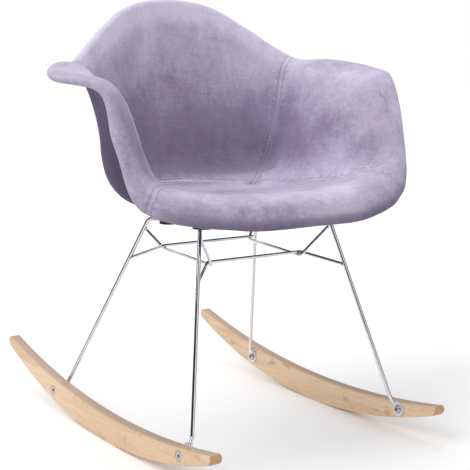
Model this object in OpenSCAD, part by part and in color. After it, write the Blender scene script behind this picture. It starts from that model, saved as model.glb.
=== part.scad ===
// Upholstered rocking chair: a padded tub seat on a welded wire base with two wooden rockers.
// Origin on the floor under the middle of the chair, front towards -Y, +Z up, millimetres.

/* [Tub seat] */
// Height of the seat's lowest point above the floor
seat_h = 381; // [345:1:420]
// Width between the rims of the two arms at their widest
arm_span = 600; // [560:2:640]
// Depth from the front lip to the top of the back
tub_depth = 416; // [390:2:440]
// Height of the arm's rim above the seat
arm_rise = 194; // [170:1:220]
// Height of the back's rim above the seat
back_rise = 301; // [260:1:340]
// Height of the front roll's crown above the seat
front_crown = 20; // [12:1:28]

/* [Upholstery] */
// Thickness of the velvet cover
velvet_t = 2; // [1.5:0.25:3]
// Thickness of the seat foam under the sitter
seat_foam_t = 21; // [15:1:26]
// Thickness of the foam on the arms and back
wall_foam_t = 6; // [4:0.5:9]
// Wall of the moulded tub
tub_t = 5; // [3.5:0.5:7]
// Thickness of the outer cover
outer_cover_t = 2; // [1.5:0.25:3]
// Diameter of the welt along the hem
welt_d = 4; // [3:0.5:6]

/* [Seat mounts] */
// Distance of each rear mount from the middle
rear_mount_x = 84; // [70:1:92]
// Place of the rear mounts front to back
rear_mount_y = -16; // [-30:1:-5]
// Distance of each front mount from the middle
front_mount_x = 95; // [80:1:105]
// Place of the front mounts front to back
front_mount_y = -135; // [-145:1:-120]
// Diameter of the moulded boss under the tub
boss_d = 36; // [32:1:42]
// Drop of the rear boss face under the tub's lowest point
rear_boss_drop = 4; // [2:0.5:8]
// Rise of the front boss face over the tub's lowest point
front_boss_rise = 4; // [2:0.5:6]
// Diameter of the rubber mount
mount_d = 32; // [28:1:36]
// Thickness of the rubber mount
mount_t = 7; // [5:0.5:10]
// Diameter of the steel tab welded on each leg
tab_d = 26; // [22:1:28]
// Thickness of the steel tab
tab_t = 3; // [2:0.5:4]
// Height of the rubber cup under the tab
cup_h = 4; // [3.5:0.5:6]
// Diameter of the mount screw
mount_screw_d = 5; // [4:0.5:6]
// Outer diameter of the threaded insert
insert_d = 11; // [9:0.5:14]
// Length of the threaded insert
insert_h = 5.5; // [4.5:0.5:6]

/* [Wire base] */
// Diameter of the leg rods
leg_d = 6.5; // [5:0.25:8]
// Diameter of the brace rods
brace_d = 5; // [4:0.25:6]
// Centre line radius of the leg's bends
leg_bend_r = 10; // [8:1:13]
// Centre line radius of the brace's bends
brace_bend_r = 8; // [6:1:11]
// Reach of the rear leg's horizontal end, from mount to bend, across and along
rear_tail = [20.8, 30.8];
// Reach of the front leg's horizontal end, from mount to bend, across and along
front_tail = [24, -30.2];
// Half width between the corners of the front and rear braces
brace_half_w = 87; // [80:1:95]
// Distance of each side brace from the middle
side_brace_x = 83; // [76:1:90]
// Place of the front brace front to back
front_brace_y = -135; // [-150:1:-120]
// Place of the rear brace front to back
rear_brace_y = 0; // [-15:1:15]
// Drop of the front brace under the front leg's horizontal end
front_brace_drop = 58; // [50:1:70]
// Drop of the rear brace under the rear leg's horizontal end
rear_brace_drop = 43.5; // [38:0.5:55]
// Drop of the front brace's welds under its straight part
front_weld_drop = 18; // [12:1:30]
// Drop of the rear brace's welds under its straight part
rear_weld_drop = 24; // [12:1:30]
// Drop of the side braces' rear welds under the rear leg's horizontal end
side_rear_weld_drop = 15; // [12:1:25]
// Drop of the side braces' front welds under the front leg's horizontal end
side_front_weld_drop = 12; // [10:1:20]

/* [Rockers] */
// Length of a rocker, tip to tip
rocker_len = 684; // [620:2:740]
// Thickness of a rocker
rocker_t = 20; // [18:1:24]
// Width over the outer faces of the two rockers
rocker_span = 427; // [400:1:450]
// Radius that the chair rolls on
roll_r = 933; // [850:1:1050]
// Place of the rolling arc's lowest point front to back
roll_y = -33; // [-60:1:0]
// Height of a rocker at its lowest point
rocker_h = 42; // [36:1:50]
// Radius of a rocker's upper edge
top_r = 1585; // [1400:5:1800]
// Place of the upper edge's lowest point front to back
top_y = -63; // [-80:1:-45]
// Rounding of the rocker's long edges
ease_r = 3; // [1:0.5:4]

/* [Foot fixings] */
// Place of the front bolt front to back
front_bolt_y = -258; // [-280:1:-240]
// Place of the rear bolt front to back
rear_bolt_y = 156; // [140:1:180]
// Height of the front bolt over the rocker's underside
front_bolt_lift = 14.5; // [14:0.5:17]
// Height of the rear bolt over the rocker's underside
rear_bolt_lift = 18; // [14:0.5:21]
// Diameter of the round foot plate
plate_d = 24; // [20:1:25]
// Thickness of the foot plate
plate_t = 4; // [3:0.5:6]
// Depth of the pocket that takes the foot plate
pocket_depth = 2.5; // [1.5:0.5:3]
// Diameter of the bolt's shank
bolt_d = 6; // [5:0.5:7]
// Diameter of the bolt's head
bolt_head_d = 14; // [12:0.5:15]
// Height of the bolt's head
bolt_head_h = 4; // [3:0.5:6]
// Outer diameter of the sleeve nut
sleeve_d = 9; // [8:0.5:11]
// Diameter of the sleeve nut's head
sleeve_head_d = 17; // [14:0.5:19]
// Height of the sleeve nut's head
sleeve_head_h = 3; // [2:0.5:4]
// Width across the flats of the hex sockets
hex_af = 5; // [4:0.5:6]

/* [Hidden] */
$fn = 48;

// Clearances and small sizes
fit_gap = 0.1;
pocket_gap = 0.6;
screw_gap = 0.25;
rod_gap = 0.3;
cup_rim = 1.2;
socket_depth = 2.5;
thread_end_gap = 1;
screw_head_d = 9;
screw_head_h = 3;
mount_hex_af = 4;
boss_reach = 14;
insert_flange_d = 15;
insert_flange_h = 1.5;
plate_neck_d = 11;
big_fn = 360;
edge_steps = 4;
rod_sides = 16;
bend_step = 12;

// The tub's form. Each ring holds points from the front centre round to the back centre, on the +X
// side: front centre, front, front corner, arm's front edge, arm's tip, arm's widest point, arm's
// rear, corner of arm and back, shoulder, back's top side, back's top centre. A point is the distance
// from the middle, the place front to back, and the height over the seat's lowest point, all at the
// form's own span, depth and rises.
form_span = 600;
form_depth = 416;
form_arm_rise = 194;
form_back_rise = 301;
form_crown = 20;
floor_ring = [[0, -120, 3], [40, -118, 3], [75, -100, 3], [90, -80, 2], [95, -65, 1], [98, -48, 1],
              [94, -28, 0], [80, -8, -1], [55, 5, -2], [28, 12, -3], [0, 14, -3]];
corner_ring = [[0, -188, 12], [95, -183, 14], [160, -150, 17], [164, -110, 15], [162, -75, 13],
               [163, -40, 11], [164, 0, 7], [149, 42, 3], [105, 64, 0], [56, 72, -4], [0, 74, -5]];
wall_ring = [[0, -243, 20], [105, -234, 23], [195, -184, 46], [195, -143, 106], [176, -96, 134],
             [168, -45, 134], [168, 2, 131], [160, 46, 128], [115, 78, 146], [59, 96, 161], [0, 102, 166]];
knee_ring = [[0, -288, 10], [113, -273, 12], [223, -212, 41], [238, -200, 116], [242, -157, 186],
             [234, -60, 204], [206, 4, 211], [182, 52, 197], [120, 90, 236], [65, 110, 267], [0, 119, 275]];
rim_ring = [[0, -292, -19], [118, -277, -16], [230, -217, 12], [256, -180, 101], [262, -142, 173],
            [300, -60, 194], [262, 5, 207], [200, 54, 210], [130, 94, 256], [76, 115, 290], [0, 124, 301]];
form_pole = [0, -50, 0];
last_station = 10;
first_back_station = 8;
last_front_station = 2;

// Mesh of the form
per_station = 2;
rows = 12;
lip_steps = 4;
around = 2 * last_station * per_station;
crease_row = 3;
seat_half_cols = 4;
arm_end_col = 14;
foam_fade_start = 0.35;
foam_fade_end = 0.7;

// Thickness of the whole padding, at the seat and at the walls
seat_stack = velvet_t + seat_foam_t + tub_t + outer_cover_t;
wall_stack = velvet_t + wall_foam_t + tub_t + outer_cover_t;
lip_r = wall_stack / 2;
tub_under_z = seat_h - seat_stack;

// A form point at the chair's own sizes
function rise_scale(i) =
    i >= first_back_station ? back_rise / form_back_rise :
    i > last_front_station ? arm_rise / form_arm_rise : front_crown / form_crown;
function sized(p, i) =
    [p[0] * arm_span / form_span, p[1] * tub_depth / form_depth, seat_h + p[2] * rise_scale(i)];

// A ring of form points closed round both sides
function half(ring) = [for (i = [0:last_station]) sized(ring[i], i)];
function mirrored(p) = [-p[0], p[1], p[2]];
function both(h) = concat(h, [for (i = [last_station - 1:-1:1]) mirrored(h[i])]);

// A smooth closed curve through the points of a ring
function pass(a, b, c, d, t) =
    0.5 * (2 * b + (c - a) * t + (2 * a - 5 * b + 4 * c - d) * t * t + (3 * b - a - 3 * c + d) * t * t * t);
function smooth(r) =
    let (n = len(r))
    [for (i = [0:n - 1]) for (k = [0:per_station - 1])
        pass(r[(i + n - 1) % n], r[i], r[(i + 1) % n], r[(i + 2) % n], k / per_station)];

// A clamped B-spline across the rings, blended in three steps, from the pole of the seat to the rim
knots = [0, 0, 0, 0, 1 / 3, 2 / 3, 1, 1, 1, 1];
blend_steps = 3;
function ramp(t, a, b) = b > a ? (t - a) / (b - a) : 0;
function weight(i, p, t) =
    p == 0 ? (t >= knots[i] && (t < knots[i + 1] || (t >= 1 && knots[i] < 1 && knots[i + 1] >= 1)) ? 1 : 0) :
    ramp(t, knots[i], knots[i + p]) * weight(i, p - 1, t)
    + (knots[i + p + 1] > knots[i + 1] ? 1 - ramp(t, knots[i + 1], knots[i + p + 1]) : 0)
    * weight(i + 1, p - 1, t);
rings = [for (r = [floor_ring, corner_ring, wall_ring, knee_ring, rim_ring]) smooth(both(half(r)))];
pole = sized(form_pole, 0);
function across(t, u) =
    let (w = [for (k = [0:5]) weight(k, blend_steps, t)])
    w[0] * pole + w[1] * rings[0][u] + w[2] * rings[1][u] + w[3] * rings[2][u] + w[4] * rings[3][u]
    + w[5] * rings[4][u];

// The velvet's face, one row of points for each step from the pole to the rim
skin = [for (j = [0:rows]) [for (u = [0:around - 1]) across(j / rows, u)]];
function unit(v) = v / norm(v);
function along(j, u) = skin[min(j + 1, rows)][u] - skin[max(j - 1, 0)][u];
function round_about(j, u) = skin[j][(u + 1) % around] - skin[j][(u + around - 1) % around];
away = [for (j = [0:rows]) [for (u = [0:around - 1])
    j == 0 ? [0, 0, -1] : unit(cross(round_about(j, u), along(j, u)))]];
rim_out = [for (u = [0:around - 1]) unit(along(rows, u))];

// Depth of the padding at a row: thick under the sitter, thin on the walls
function fade(t) = let (g = min(max((t - foam_fade_start) / (foam_fade_end - foam_fade_start), 0), 1))
    g * g * (3 - 2 * g);
function stack_at(j) = seat_stack + (wall_stack - seat_stack) * fade(j / rows);

// Rows of points at a depth under the velvet's face, and at a height over the padding's outer face
function under_face(d) = [for (j = [0:rows]) [for (u = [0:around - 1]) skin[j][u] + away[j][u] * d]];
function over_back(d) =
    [for (j = [0:rows]) [for (u = [0:around - 1]) skin[j][u] + away[j][u] * (stack_at(j) - d)]];

// Rows of points round the rim's roll, at a depth under the velvet
function rolled(d) = [for (k = [1:lip_steps]) [for (u = [0:around - 1])
    skin[rows][u] + away[rows][u] * (lip_r - (lip_r - d) * cos(180 * k / lip_steps))
    + rim_out[u] * (lip_r - d) * sin(180 * k / lip_steps)]];

// Point numbers in a list of rows whose first row is a single pole
function flat(list) = concat([list[0][0]], [for (j = [1:len(list) - 1]) for (p = list[j]) p]);
function at(j, u) = j == 0 ? 0 : 1 + (j - 1) * around + (u + around) % around;
function two(a, b, c, d) = [[a, b, c], [a, c, d]];
function inwards(list) = [for (j = [rows:-1:0]) list[j]];

// A closed solid between two poles, through every row given. From the row where the list folds back
// towards the middle, the cells are split the other way, so that faces that touch match exactly.
module skinned(list, fold) {
    n = len(list) - 1;
    last = 1 + (n - 1) * around;
    points = concat(flat([for (j = [0:n - 1]) list[j]]), [list[n][0]]);
    start = [for (u = [0:around - 1]) [0, at(1, u + 1), at(1, u)]];
    sides = [for (j = [1:n - 2]) for (u = [0:around - 1])
        for (f = j < fold ? two(at(j, u), at(j, u + 1), at(j + 1, u + 1), at(j + 1, u))
            : two(at(j, u + 1), at(j + 1, u + 1), at(j + 1, u), at(j, u))) f];
    end = [for (u = [0:around - 1]) [last, at(n - 1, u), at(n - 1, u + 1)]];
    polyhedron(points, concat(start, sides, end));
}

// A panel of velvet over the cells of the form that belong to it, between its face and its back
module panel(belongs) {
    face = flat(concat(under_face(0), rolled(0)));
    back = flat(concat(under_face(velvet_t), rolled(velvet_t)));
    n = len(face);
    top_row = rows + lip_steps;
    cells = [for (j = [0:top_row - 1]) for (u = [0:around - 1]) if (belongs(j, u)) [j, u]];
    upper = [for (c = cells) let (j = c[0], u = c[1])
        for (f = j == 0 ? [[at(0, u), at(1, u + 1), at(1, u)]]
            : two(at(j, u), at(j, u + 1), at(j + 1, u + 1), at(j + 1, u))) f];
    lower = [for (f = upper) [f[2] + n, f[1] + n, f[0] + n]];
    function wall(a, b) = a < b ? two(a, a + n, b + n, b) : two(b, a, a + n, b + n);
    function hem(a, b) = two(b, a, a + n, b + n);
    walls = [for (c = cells) let (j = c[0], u = c[1]) for (w = concat(
        j > 0 && !belongs(j - 1, u) ? wall(at(j, u), at(j, u + 1)) : [],
        j == top_row - 1 ? hem(at(j + 1, u + 1), at(j + 1, u)) :
            !belongs(j + 1, u) ? wall(at(j + 1, u + 1), at(j + 1, u)) : [],
        !belongs(j, (u + around - 1) % around) ? wall(at(j + 1, u), at(j, u)) : [],
        !belongs(j, (u + 1) % around) ? wall(at(j, u + 1), at(j + 1, u + 1)) : [])) w];
    polyhedron(concat(face, back), concat(upper, lower, walls));
}
function in_seat(j, u) = j < crease_row || u < seat_half_cols || u >= around - seat_half_cols;
function in_right_arm(j, u) = !in_seat(j, u) && u < arm_end_col;
function in_left_arm(j, u) = !in_seat(j, u) && u >= around - arm_end_col;
function in_back(j, u) = !in_seat(j, u) && u >= arm_end_col && u < around - arm_end_col;

module seat_cover() {
    color("#b4a8c8") panel(function(j, u) in_seat(j, u));
}
module back_cover() {
    color("#a89cbc") panel(function(j, u) in_back(j, u));
}
module left_arm_cover() {
    color("#b0a4c4") panel(function(j, u) in_left_arm(j, u));
}
module right_arm_cover() {
    color("#b0a4c4") panel(function(j, u) in_right_arm(j, u));
}

// Places of the four mounts: place, height of the boss face, reach of the leg's end
rear_boss_z = tub_under_z - rear_boss_drop;
front_boss_z = tub_under_z + front_boss_rise;
function mount(front, side) = front
    ? [[side * front_mount_x, front_mount_y, front_boss_z], [side * front_tail[0], front_tail[1], 0]]
    : [[side * rear_mount_x, rear_mount_y, rear_boss_z], [side * rear_tail[0], rear_tail[1], 0]];
mounts = [for (front = [true, false]) for (side = [-1, 1]) mount(front, side)];
rod_drop = mount_t + tab_t / 2;

// A boss stands on the tub's outer face, passes through the outer cover and holds an insert
module boss_columns(extra) {
    for (m = mounts)
        translate(m[0])
            cylinder(d = boss_d + 2 * extra, h = boss_reach);
}
module mount_bosses() {
    face = under_face(0);
    outer = over_back(outer_cover_t);
    color("#f0f0ee")
        difference() {
            boss_columns(0);
            skinned(concat(face, inwards(outer)), rows + 1);
            for (m = mounts)
                translate(m[0] - [0, 0, fit_gap]) {
                    cylinder(d = insert_d, h = insert_h + fit_gap);
                    cylinder(d = insert_flange_d, h = insert_flange_h + fit_gap);
                }
        }
}

module foam_lining() {
    inner = under_face(velvet_t);
    outer = over_back(tub_t + outer_cover_t);
    color("#e8e2c8")
        skinned(concat(inner, rolled(velvet_t), inwards(outer)), rows + lip_steps);
}
module tub_shell() {
    inner = over_back(tub_t + outer_cover_t);
    outer = over_back(outer_cover_t);
    color("#f0f0ee")
        skinned(concat(inner, inwards(outer)), rows + 1);
}
module outer_cover() {
    inner = over_back(outer_cover_t);
    outer = over_back(0);
    color("#6a6080")
        difference() {
            skinned(concat(inner, inwards(outer)), rows);
            boss_columns(fit_gap);
        }
}

// A welt runs round the hem, where the velvet ends on the outer cover
welt_sides = 6;
module hem_welt() {
    r = welt_d / 2;
    centre = [for (u = [0:around - 1]) skin[rows][u] + away[rows][u] * (wall_stack + r)];
    ring = [for (u = [0:around - 1]) for (k = [0:welt_sides - 1])
        centre[u] + away[rows][u] * r * cos(360 * k / welt_sides) + rim_out[u] * r * sin(360 * k / welt_sides)];
    function id(u, k) = (u % around) * welt_sides + k % welt_sides;
    faces = [for (u = [0:around - 1]) for (k = [0:welt_sides - 1])
        for (f = two(id(u, k), id(u, k + 1), id(u + 1, k + 1), id(u + 1, k))) f];
    color("#7c7194") polyhedron(ring, faces);
}

module mount_inserts() {
    color("#c9a860")
        for (m = mounts)
            translate(m[0])
                difference() {
                    union() {
                        cylinder(d = insert_d, h = insert_h);
                        cylinder(d = insert_flange_d, h = insert_flange_h);
                    }
                    translate([0, 0, -fit_gap])
                        cylinder(d = mount_screw_d + 2 * fit_gap, h = insert_h + 2 * fit_gap);
                }
}

// The channel that the end of a leg needs through the rubber round its tab
module rod_channel(m) {
    dir = unit(m[1]);
    translate(m[0] - [0, 0, rod_drop])
        rotate([0, 90, atan2(dir[1], dir[0])])
            cylinder(d = leg_d + 2 * rod_gap, h = mount_d);
}
module rubber_mounts() {
    color("#262626")
        for (m = mounts)
            difference() {
                translate(m[0] - [0, 0, mount_t])
                    cylinder(d = mount_d, h = mount_t);
                translate(m[0] - [0, 0, mount_t + fit_gap])
                    cylinder(d = mount_screw_d + 2 * screw_gap, h = mount_t + 2 * fit_gap);
                rod_channel(m);
            }
}
module rubber_cups() {
    color("#1e1e1e")
        for (m = mounts)
            difference() {
                translate(m[0] - [0, 0, mount_t + tab_t + cup_h])
                    cylinder(d = mount_d, h = cup_h + cup_rim);
                translate(m[0] - [0, 0, mount_t + tab_t])
                    cylinder(d = tab_d + 2 * rod_gap, h = tab_t);
                translate(m[0] - [0, 0, mount_t + tab_t + cup_h + fit_gap])
                    cylinder(d = mount_screw_d + 2 * screw_gap, h = cup_h + 2 * fit_gap);
                translate(m[0] - [0, 0, mount_t + tab_t + cup_h + fit_gap])
                    cylinder(d = screw_head_d + 2 * screw_gap, h = screw_head_h + fit_gap);
                rod_channel(m);
            }
}
module mount_tabs() {
    color("silver")
        for (m = mounts)
            translate(m[0] - [0, 0, mount_t + tab_t])
                difference() {
                    cylinder(d = tab_d, h = tab_t);
                    translate([0, 0, -fit_gap])
                        cylinder(d = mount_screw_d + 2 * screw_gap, h = tab_t + 2 * fit_gap);
                }
}

// A round head with a hex socket, standing on its mouth side at z = 0, with a shank behind it
module hex_screw(head_d, head_h, shank_d, shank_l, flats) {
    difference() {
        union() {
            cylinder(d = head_d, h = head_h);
            cylinder(d = shank_d, h = head_h + shank_l);
        }
        translate([0, 0, -fit_gap])
            cylinder(d = flats / cos(30), h = min(socket_depth, head_h) + fit_gap, $fn = 6);
    }
}
mount_screw_l = cup_h - screw_head_h + tab_t + mount_t + insert_h - thread_end_gap;
module mount_screws() {
    color("#9a9a9a")
        for (m = mounts)
            translate(m[0] - [0, 0, mount_t + tab_t + cup_h])
                hex_screw(screw_head_d, screw_head_h, mount_screw_d, mount_screw_l, mount_hex_af);
}

// A bent rod: one closed tube swept through a list of points, with a round bend at each inner point.
// The sides of the tube are squared to a reference direction that no part of the rod runs along.
function turn(a, p, b) = acos(unit(p - a) * unit(b - p));
function bent(a, p, b, bend) =
    let (go = unit(p - a), out = unit(b - p), inward = unit(out - go * (go * out)), angle = turn(a, p, b),
         c = p - go * bend * tan(angle / 2) + inward * bend, steps = ceil(angle / bend_step))
    [for (k = [0:steps]) let (s = angle * k / steps)
        [c - inward * bend * cos(s) + go * bend * sin(s), go * cos(s) + inward * sin(s)]];
function route(pts, bend) =
    let (n = len(pts) - 1)
    concat([[pts[0], unit(pts[1] - pts[0])]],
           [for (i = [1:n - 1]) for (q = bent(pts[i - 1], pts[i], pts[i + 1], bend)) q],
           [[pts[n], unit(pts[n] - pts[n - 1])]]);
module rod(pts, d, bend, square_to) {
    path = route(pts, bend);
    n = len(path);
    ring = [for (q = path)
        let (a = unit(square_to - q[1] * (square_to * q[1])), b = cross(q[1], a))
        for (k = [0:rod_sides - 1])
            q[0] + d / 2 * (a * cos(360 * k / rod_sides) + b * sin(360 * k / rod_sides))];
    function id(i, k) = i * rod_sides + k % rod_sides;
    walls = [for (i = [0:n - 2]) for (k = [0:rod_sides - 1])
        for (f = two(id(i, k), id(i + 1, k), id(i + 1, k + 1), id(i, k + 1))) f];
    first = [for (k = [1:rod_sides - 2]) [id(0, 0), id(0, k), id(0, k + 1)]];
    final = [for (k = [1:rod_sides - 2]) [id(n - 1, 0), id(n - 1, k + 1), id(n - 1, k)]];
    polyhedron(ring, concat(first, walls, final));
}

// Rocker faces and the bolts' places
rocker_out_x = rocker_span / 2;
rocker_in_x = rocker_out_x - rocker_t;
plate_out_x = rocker_in_x + pocket_depth;
plate_in_x = plate_out_x - plate_t;
function under_z(y) = roll_r - sqrt(roll_r * roll_r - (y - roll_y) * (y - roll_y));
function bolt_y(front) = front ? front_bolt_y : rear_bolt_y;
function bolt_z(front) = under_z(bolt_y(front)) + (front ? front_bolt_lift : rear_bolt_lift);

// The leg's foot stands off the bolt, towards the middle of the chair and upwards
front_foot_in = 8;
rear_foot_in = -4;
foot_up = 9;
ankle_x = 5;
ankle_y = 3;
ankle_z = 11;
function foot(front, side) =
    [side * (plate_in_x - leg_d / 2), bolt_y(front) + (front ? front_foot_in : rear_foot_in),
     bolt_z(front) + foot_up];
function ankle(front, side) =
    foot(front, side) + [-side * ankle_x, front ? ankle_y : -ankle_y, ankle_z];
function rod_end(front, side) = mount(front, side)[0] - [0, 0, rod_drop];
function leg_top(front, side) = rod_end(front, side) + mount(front, side)[1];
function on_leg(front, side, drop) =
    let (a = ankle(front, side), b = leg_top(front, side))
    b + (a - b) * drop / (b[2] - a[2]);
function leg_path(front, side) =
    [foot(front, side), ankle(front, side), leg_top(front, side), rod_end(front, side)];

module leg_rod(front, side) {
    tail = mount(front, side)[1];
    rod(leg_path(front, side), leg_d, leg_bend_r, [-tail[1], tail[0], 0]);
}
module leg(front, side) {
    color("#c4c6ca")
        difference() {
            leg_rod(front, side);
            translate(rod_end(front, side) - [0, 0, leg_d])
                cylinder(d = tab_d, h = 2 * leg_d);
        }
}
module front_left_leg() {
    leg(true, -1);
}
module front_right_leg() {
    leg(true, 1);
}
module rear_left_leg() {
    leg(false, -1);
}
module rear_right_leg() {
    leg(false, 1);
}

// Each brace is cut where its ends are welded on the legs
front_brace_z = rod_end(true, 1)[2] - front_brace_drop;
rear_brace_z = rod_end(false, 1)[2] - rear_brace_drop;
module cross_brace(front, y, z, drop) {
    weld_drop = leg_top(front, 1)[2] - z + drop;
    color("#c4c6ca")
        difference() {
            rod([on_leg(front, -1, weld_drop), [-brace_half_w, y, z], [brace_half_w, y, z],
                 on_leg(front, 1, weld_drop)], brace_d, brace_bend_r, [0, 0, 1]);
            for (side = [-1, 1])
                leg_rod(front, side);
        }
}
module front_brace() {
    cross_brace(true, front_brace_y, front_brace_z, front_weld_drop);
}
module rear_brace() {
    cross_brace(false, rear_brace_y, rear_brace_z, rear_weld_drop);
}

// The side braces cross one rod under the front and rear braces
side_over = 6;
module side_brace(side) {
    color("#c4c6ca")
        difference() {
            rod([on_leg(false, side, side_rear_weld_drop),
                 [side * side_brace_x, rear_brace_y + side_over, rear_brace_z - brace_d],
                 [side * side_brace_x, front_brace_y - side_over, front_brace_z - brace_d],
                 on_leg(true, side, side_front_weld_drop)], brace_d, brace_bend_r, [1, 0, 0]);
            for (front = [true, false])
                leg_rod(front, side);
        }
}
module left_brace() {
    side_brace(-1);
}
module right_brace() {
    side_brace(1);
}

// A disc with a neck of a length towards the leg's foot, drawn across the face that it lies on
function foot_step(front) = [foot(front, 1)[1] - bolt_y(front), foot(front, 1)[2] - bolt_z(front)];
module disc_and_neck(front, extra, neck_l) {
    step = foot_step(front);
    circle(d = plate_d + 2 * extra);
    rotate(atan2(step[1], step[0]))
        translate([0, -plate_neck_d / 2 - extra])
            square([neck_l, plate_neck_d + 2 * extra]);
}
module plate_outline(front) {
    disc_and_neck(front, 0, norm(foot_step(front)));
    translate(foot_step(front))
        circle(d = plate_neck_d);
}
// The pocket is open at the rocker's top edge
module pocket_outline(front) {
    disc_and_neck(front, pocket_gap, norm(foot_step(front)) + 2 * plate_neck_d);
}
// Turns a shape drawn in Y and Z so that it is extruded outwards along X on either side
module on_side(side, x, front) {
    mirror([side < 0 ? 1 : 0, 0, 0])
        translate([x, bolt_y(front), bolt_z(front)])
            multmatrix([[0, 0, 1, 0], [1, 0, 0, 0], [0, 1, 0, 0], [0, 0, 0, 1]])
                children();
}
module foot_plates() {
    color("#d8dadd")
        for (front = [true, false])
            for (side = [-1, 1])
                on_side(side, plate_in_x, front)
                    difference() {
                        linear_extrude(plate_t)
                            plate_outline(front);
                        translate([0, 0, -fit_gap])
                            cylinder(d = bolt_d + 2 * fit_gap, h = plate_t + 2 * fit_gap);
                    }
}
module foot_bolts() {
    color("#b8babd")
        for (front = [true, false])
            for (side = [-1, 1])
                on_side(side, plate_in_x - bolt_head_h, front)
                    hex_screw(bolt_head_d, bolt_head_h, bolt_d, bolt_shank_l, hex_af);
}
sleeve_l = rocker_t - pocket_depth;
bolt_shank_l = plate_t + sleeve_l - sleeve_head_h - thread_end_gap;
module sleeve_nuts() {
    color("#b8babd")
        for (front = [true, false])
            for (side = [-1, 1])
                on_side(side, plate_out_x, front)
                    difference() {
                        union() {
                            cylinder(d = sleeve_d, h = sleeve_l);
                            translate([0, 0, sleeve_l - sleeve_head_h])
                                cylinder(d = sleeve_head_d, h = sleeve_head_h);
                        }
                        translate([0, 0, -fit_gap])
                            cylinder(d = bolt_d + 2 * fit_gap, h = sleeve_l - sleeve_head_h + fit_gap);
                        translate([0, 0, sleeve_l - socket_depth])
                            cylinder(d = hex_af / cos(30), h = socket_depth + fit_gap, $fn = 6);
                    }
}

// Outline of a disc's edge, eased on both sides: radius and height across the rocker
half_t = rocker_t / 2;
function eased(r, out) = [for (s = [-1, 1]) for (k = [0:edge_steps])
    let (a = 90 * (s < 0 ? k : edge_steps - k) / edge_steps)
    [r + out * (ease_r - ease_r * sin(a)), s * (half_t - ease_r + ease_r * cos(a))]];
module rolling_disc() {
    rotate_extrude($fn = big_fn)
        polygon(concat([[0, -half_t]], eased(roll_r, -1), [[0, half_t]]));
}
module hollow_disc() {
    rotate_extrude($fn = big_fn)
        polygon(concat([[0, -half_t - fit_gap]], [[top_r + ease_r, -half_t - fit_gap]], eased(top_r, 1),
                       [[top_r + ease_r, half_t + fit_gap]], [[0, half_t + fit_gap]]));
}
module rocker(side) {
    mid_x = side * (rocker_out_x - half_t);
    color("#dcbf9c")
        difference() {
            intersection() {
                translate([mid_x, roll_y, roll_r])
                    rotate([0, 90, 0])
                        rolling_disc();
                translate([mid_x - rocker_t, -rocker_len / 2, -1])
                    cube([2 * rocker_t, rocker_len, roll_r / 2]);
            }
            translate([mid_x, top_y, rocker_h + top_r])
                rotate([0, 90, 0])
                    hollow_disc();
            for (front = [true, false]) {
                on_side(side, rocker_in_x - fit_gap, front)
                    linear_extrude(pocket_depth + fit_gap)
                        pocket_outline(front);
                on_side(side, rocker_in_x, front)
                    cylinder(d = sleeve_d + 2 * fit_gap, h = rocker_t + fit_gap);
                on_side(side, rocker_out_x - sleeve_head_h, front)
                    cylinder(d = sleeve_head_d + 2 * fit_gap, h = sleeve_head_h + fit_gap);
            }
        }
}
module left_rocker() {
    rocker(-1);
}
module right_rocker() {
    rocker(1);
}

seat_cover();
back_cover();
left_arm_cover();
right_arm_cover();
foam_lining();
tub_shell();
outer_cover();
hem_welt();
mount_bosses();
mount_inserts();
rubber_mounts();
rubber_cups();
mount_tabs();
mount_screws();
front_left_leg();
front_right_leg();
rear_left_leg();
rear_right_leg();
front_brace();
rear_brace();
left_brace();
right_brace();
foot_plates();
left_rocker();
right_rocker();
foot_bolts();
sleeve_nuts();
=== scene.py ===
"""Looks of the upholstered rocking chair: velvet tub, chromed wire base and beech rockers."""
import logging
import math
from dataclasses import dataclass
from enum import Enum
from typing import Callable, Optional, Sequence

import bmesh
import bpy
import numpy as np
from mathutils import Matrix, Vector


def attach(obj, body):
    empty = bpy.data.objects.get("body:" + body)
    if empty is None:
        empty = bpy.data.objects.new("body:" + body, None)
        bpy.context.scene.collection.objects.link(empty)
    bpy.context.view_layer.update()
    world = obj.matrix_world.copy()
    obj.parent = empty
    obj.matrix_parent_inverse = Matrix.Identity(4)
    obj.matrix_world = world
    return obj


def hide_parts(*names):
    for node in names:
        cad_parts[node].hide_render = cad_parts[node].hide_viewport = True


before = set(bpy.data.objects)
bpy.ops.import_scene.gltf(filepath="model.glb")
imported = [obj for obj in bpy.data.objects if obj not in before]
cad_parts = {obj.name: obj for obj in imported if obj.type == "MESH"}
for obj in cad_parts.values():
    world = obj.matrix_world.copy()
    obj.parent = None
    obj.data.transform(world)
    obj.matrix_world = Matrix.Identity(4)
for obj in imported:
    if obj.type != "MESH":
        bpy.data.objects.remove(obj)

Points = np.ndarray
Colour = tuple[float, float, float]
Ridges = tuple[tuple[float, float, float], ...]
Line = tuple[tuple[float, float], ...]
MM = 0.001
BODY = "root"
log = logging.getLogger("rocking_chair")

# Stations round the tub, and places that several pieces share, in millimetres
STATIONS = 20
FRONT_MOUNT = (95.0, -135.0, 346.5)
REAR_MOUNT = (84.0, -16.0, 338.5)
ROCKER_OUT = 213.5


class Side(Enum):
    """Which half of the chair a piece is on, as the sign of its X."""

    LEFT = -1
    RIGHT = 1

    @property
    def word(self) -> str:
        """The side as the names of pieces say it."""
        return self.name.lower()


class End(Enum):
    """Which end of the chair a leg or brace is at."""

    FRONT = "front"
    REAR = "rear"


# Small tools


def bell(x: Points, width: float, power: int = 2) -> Points:
    """A smooth bump of height one around zero, flatter with a higher even power."""
    return np.exp(-((x / width) ** power))


def hump(x: Points) -> Points:
    """A smooth hump of height one that ends at -1 and 1."""
    return np.where(np.abs(x) < 1, (1 - x ** 2) ** 2, 0.0)


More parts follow.
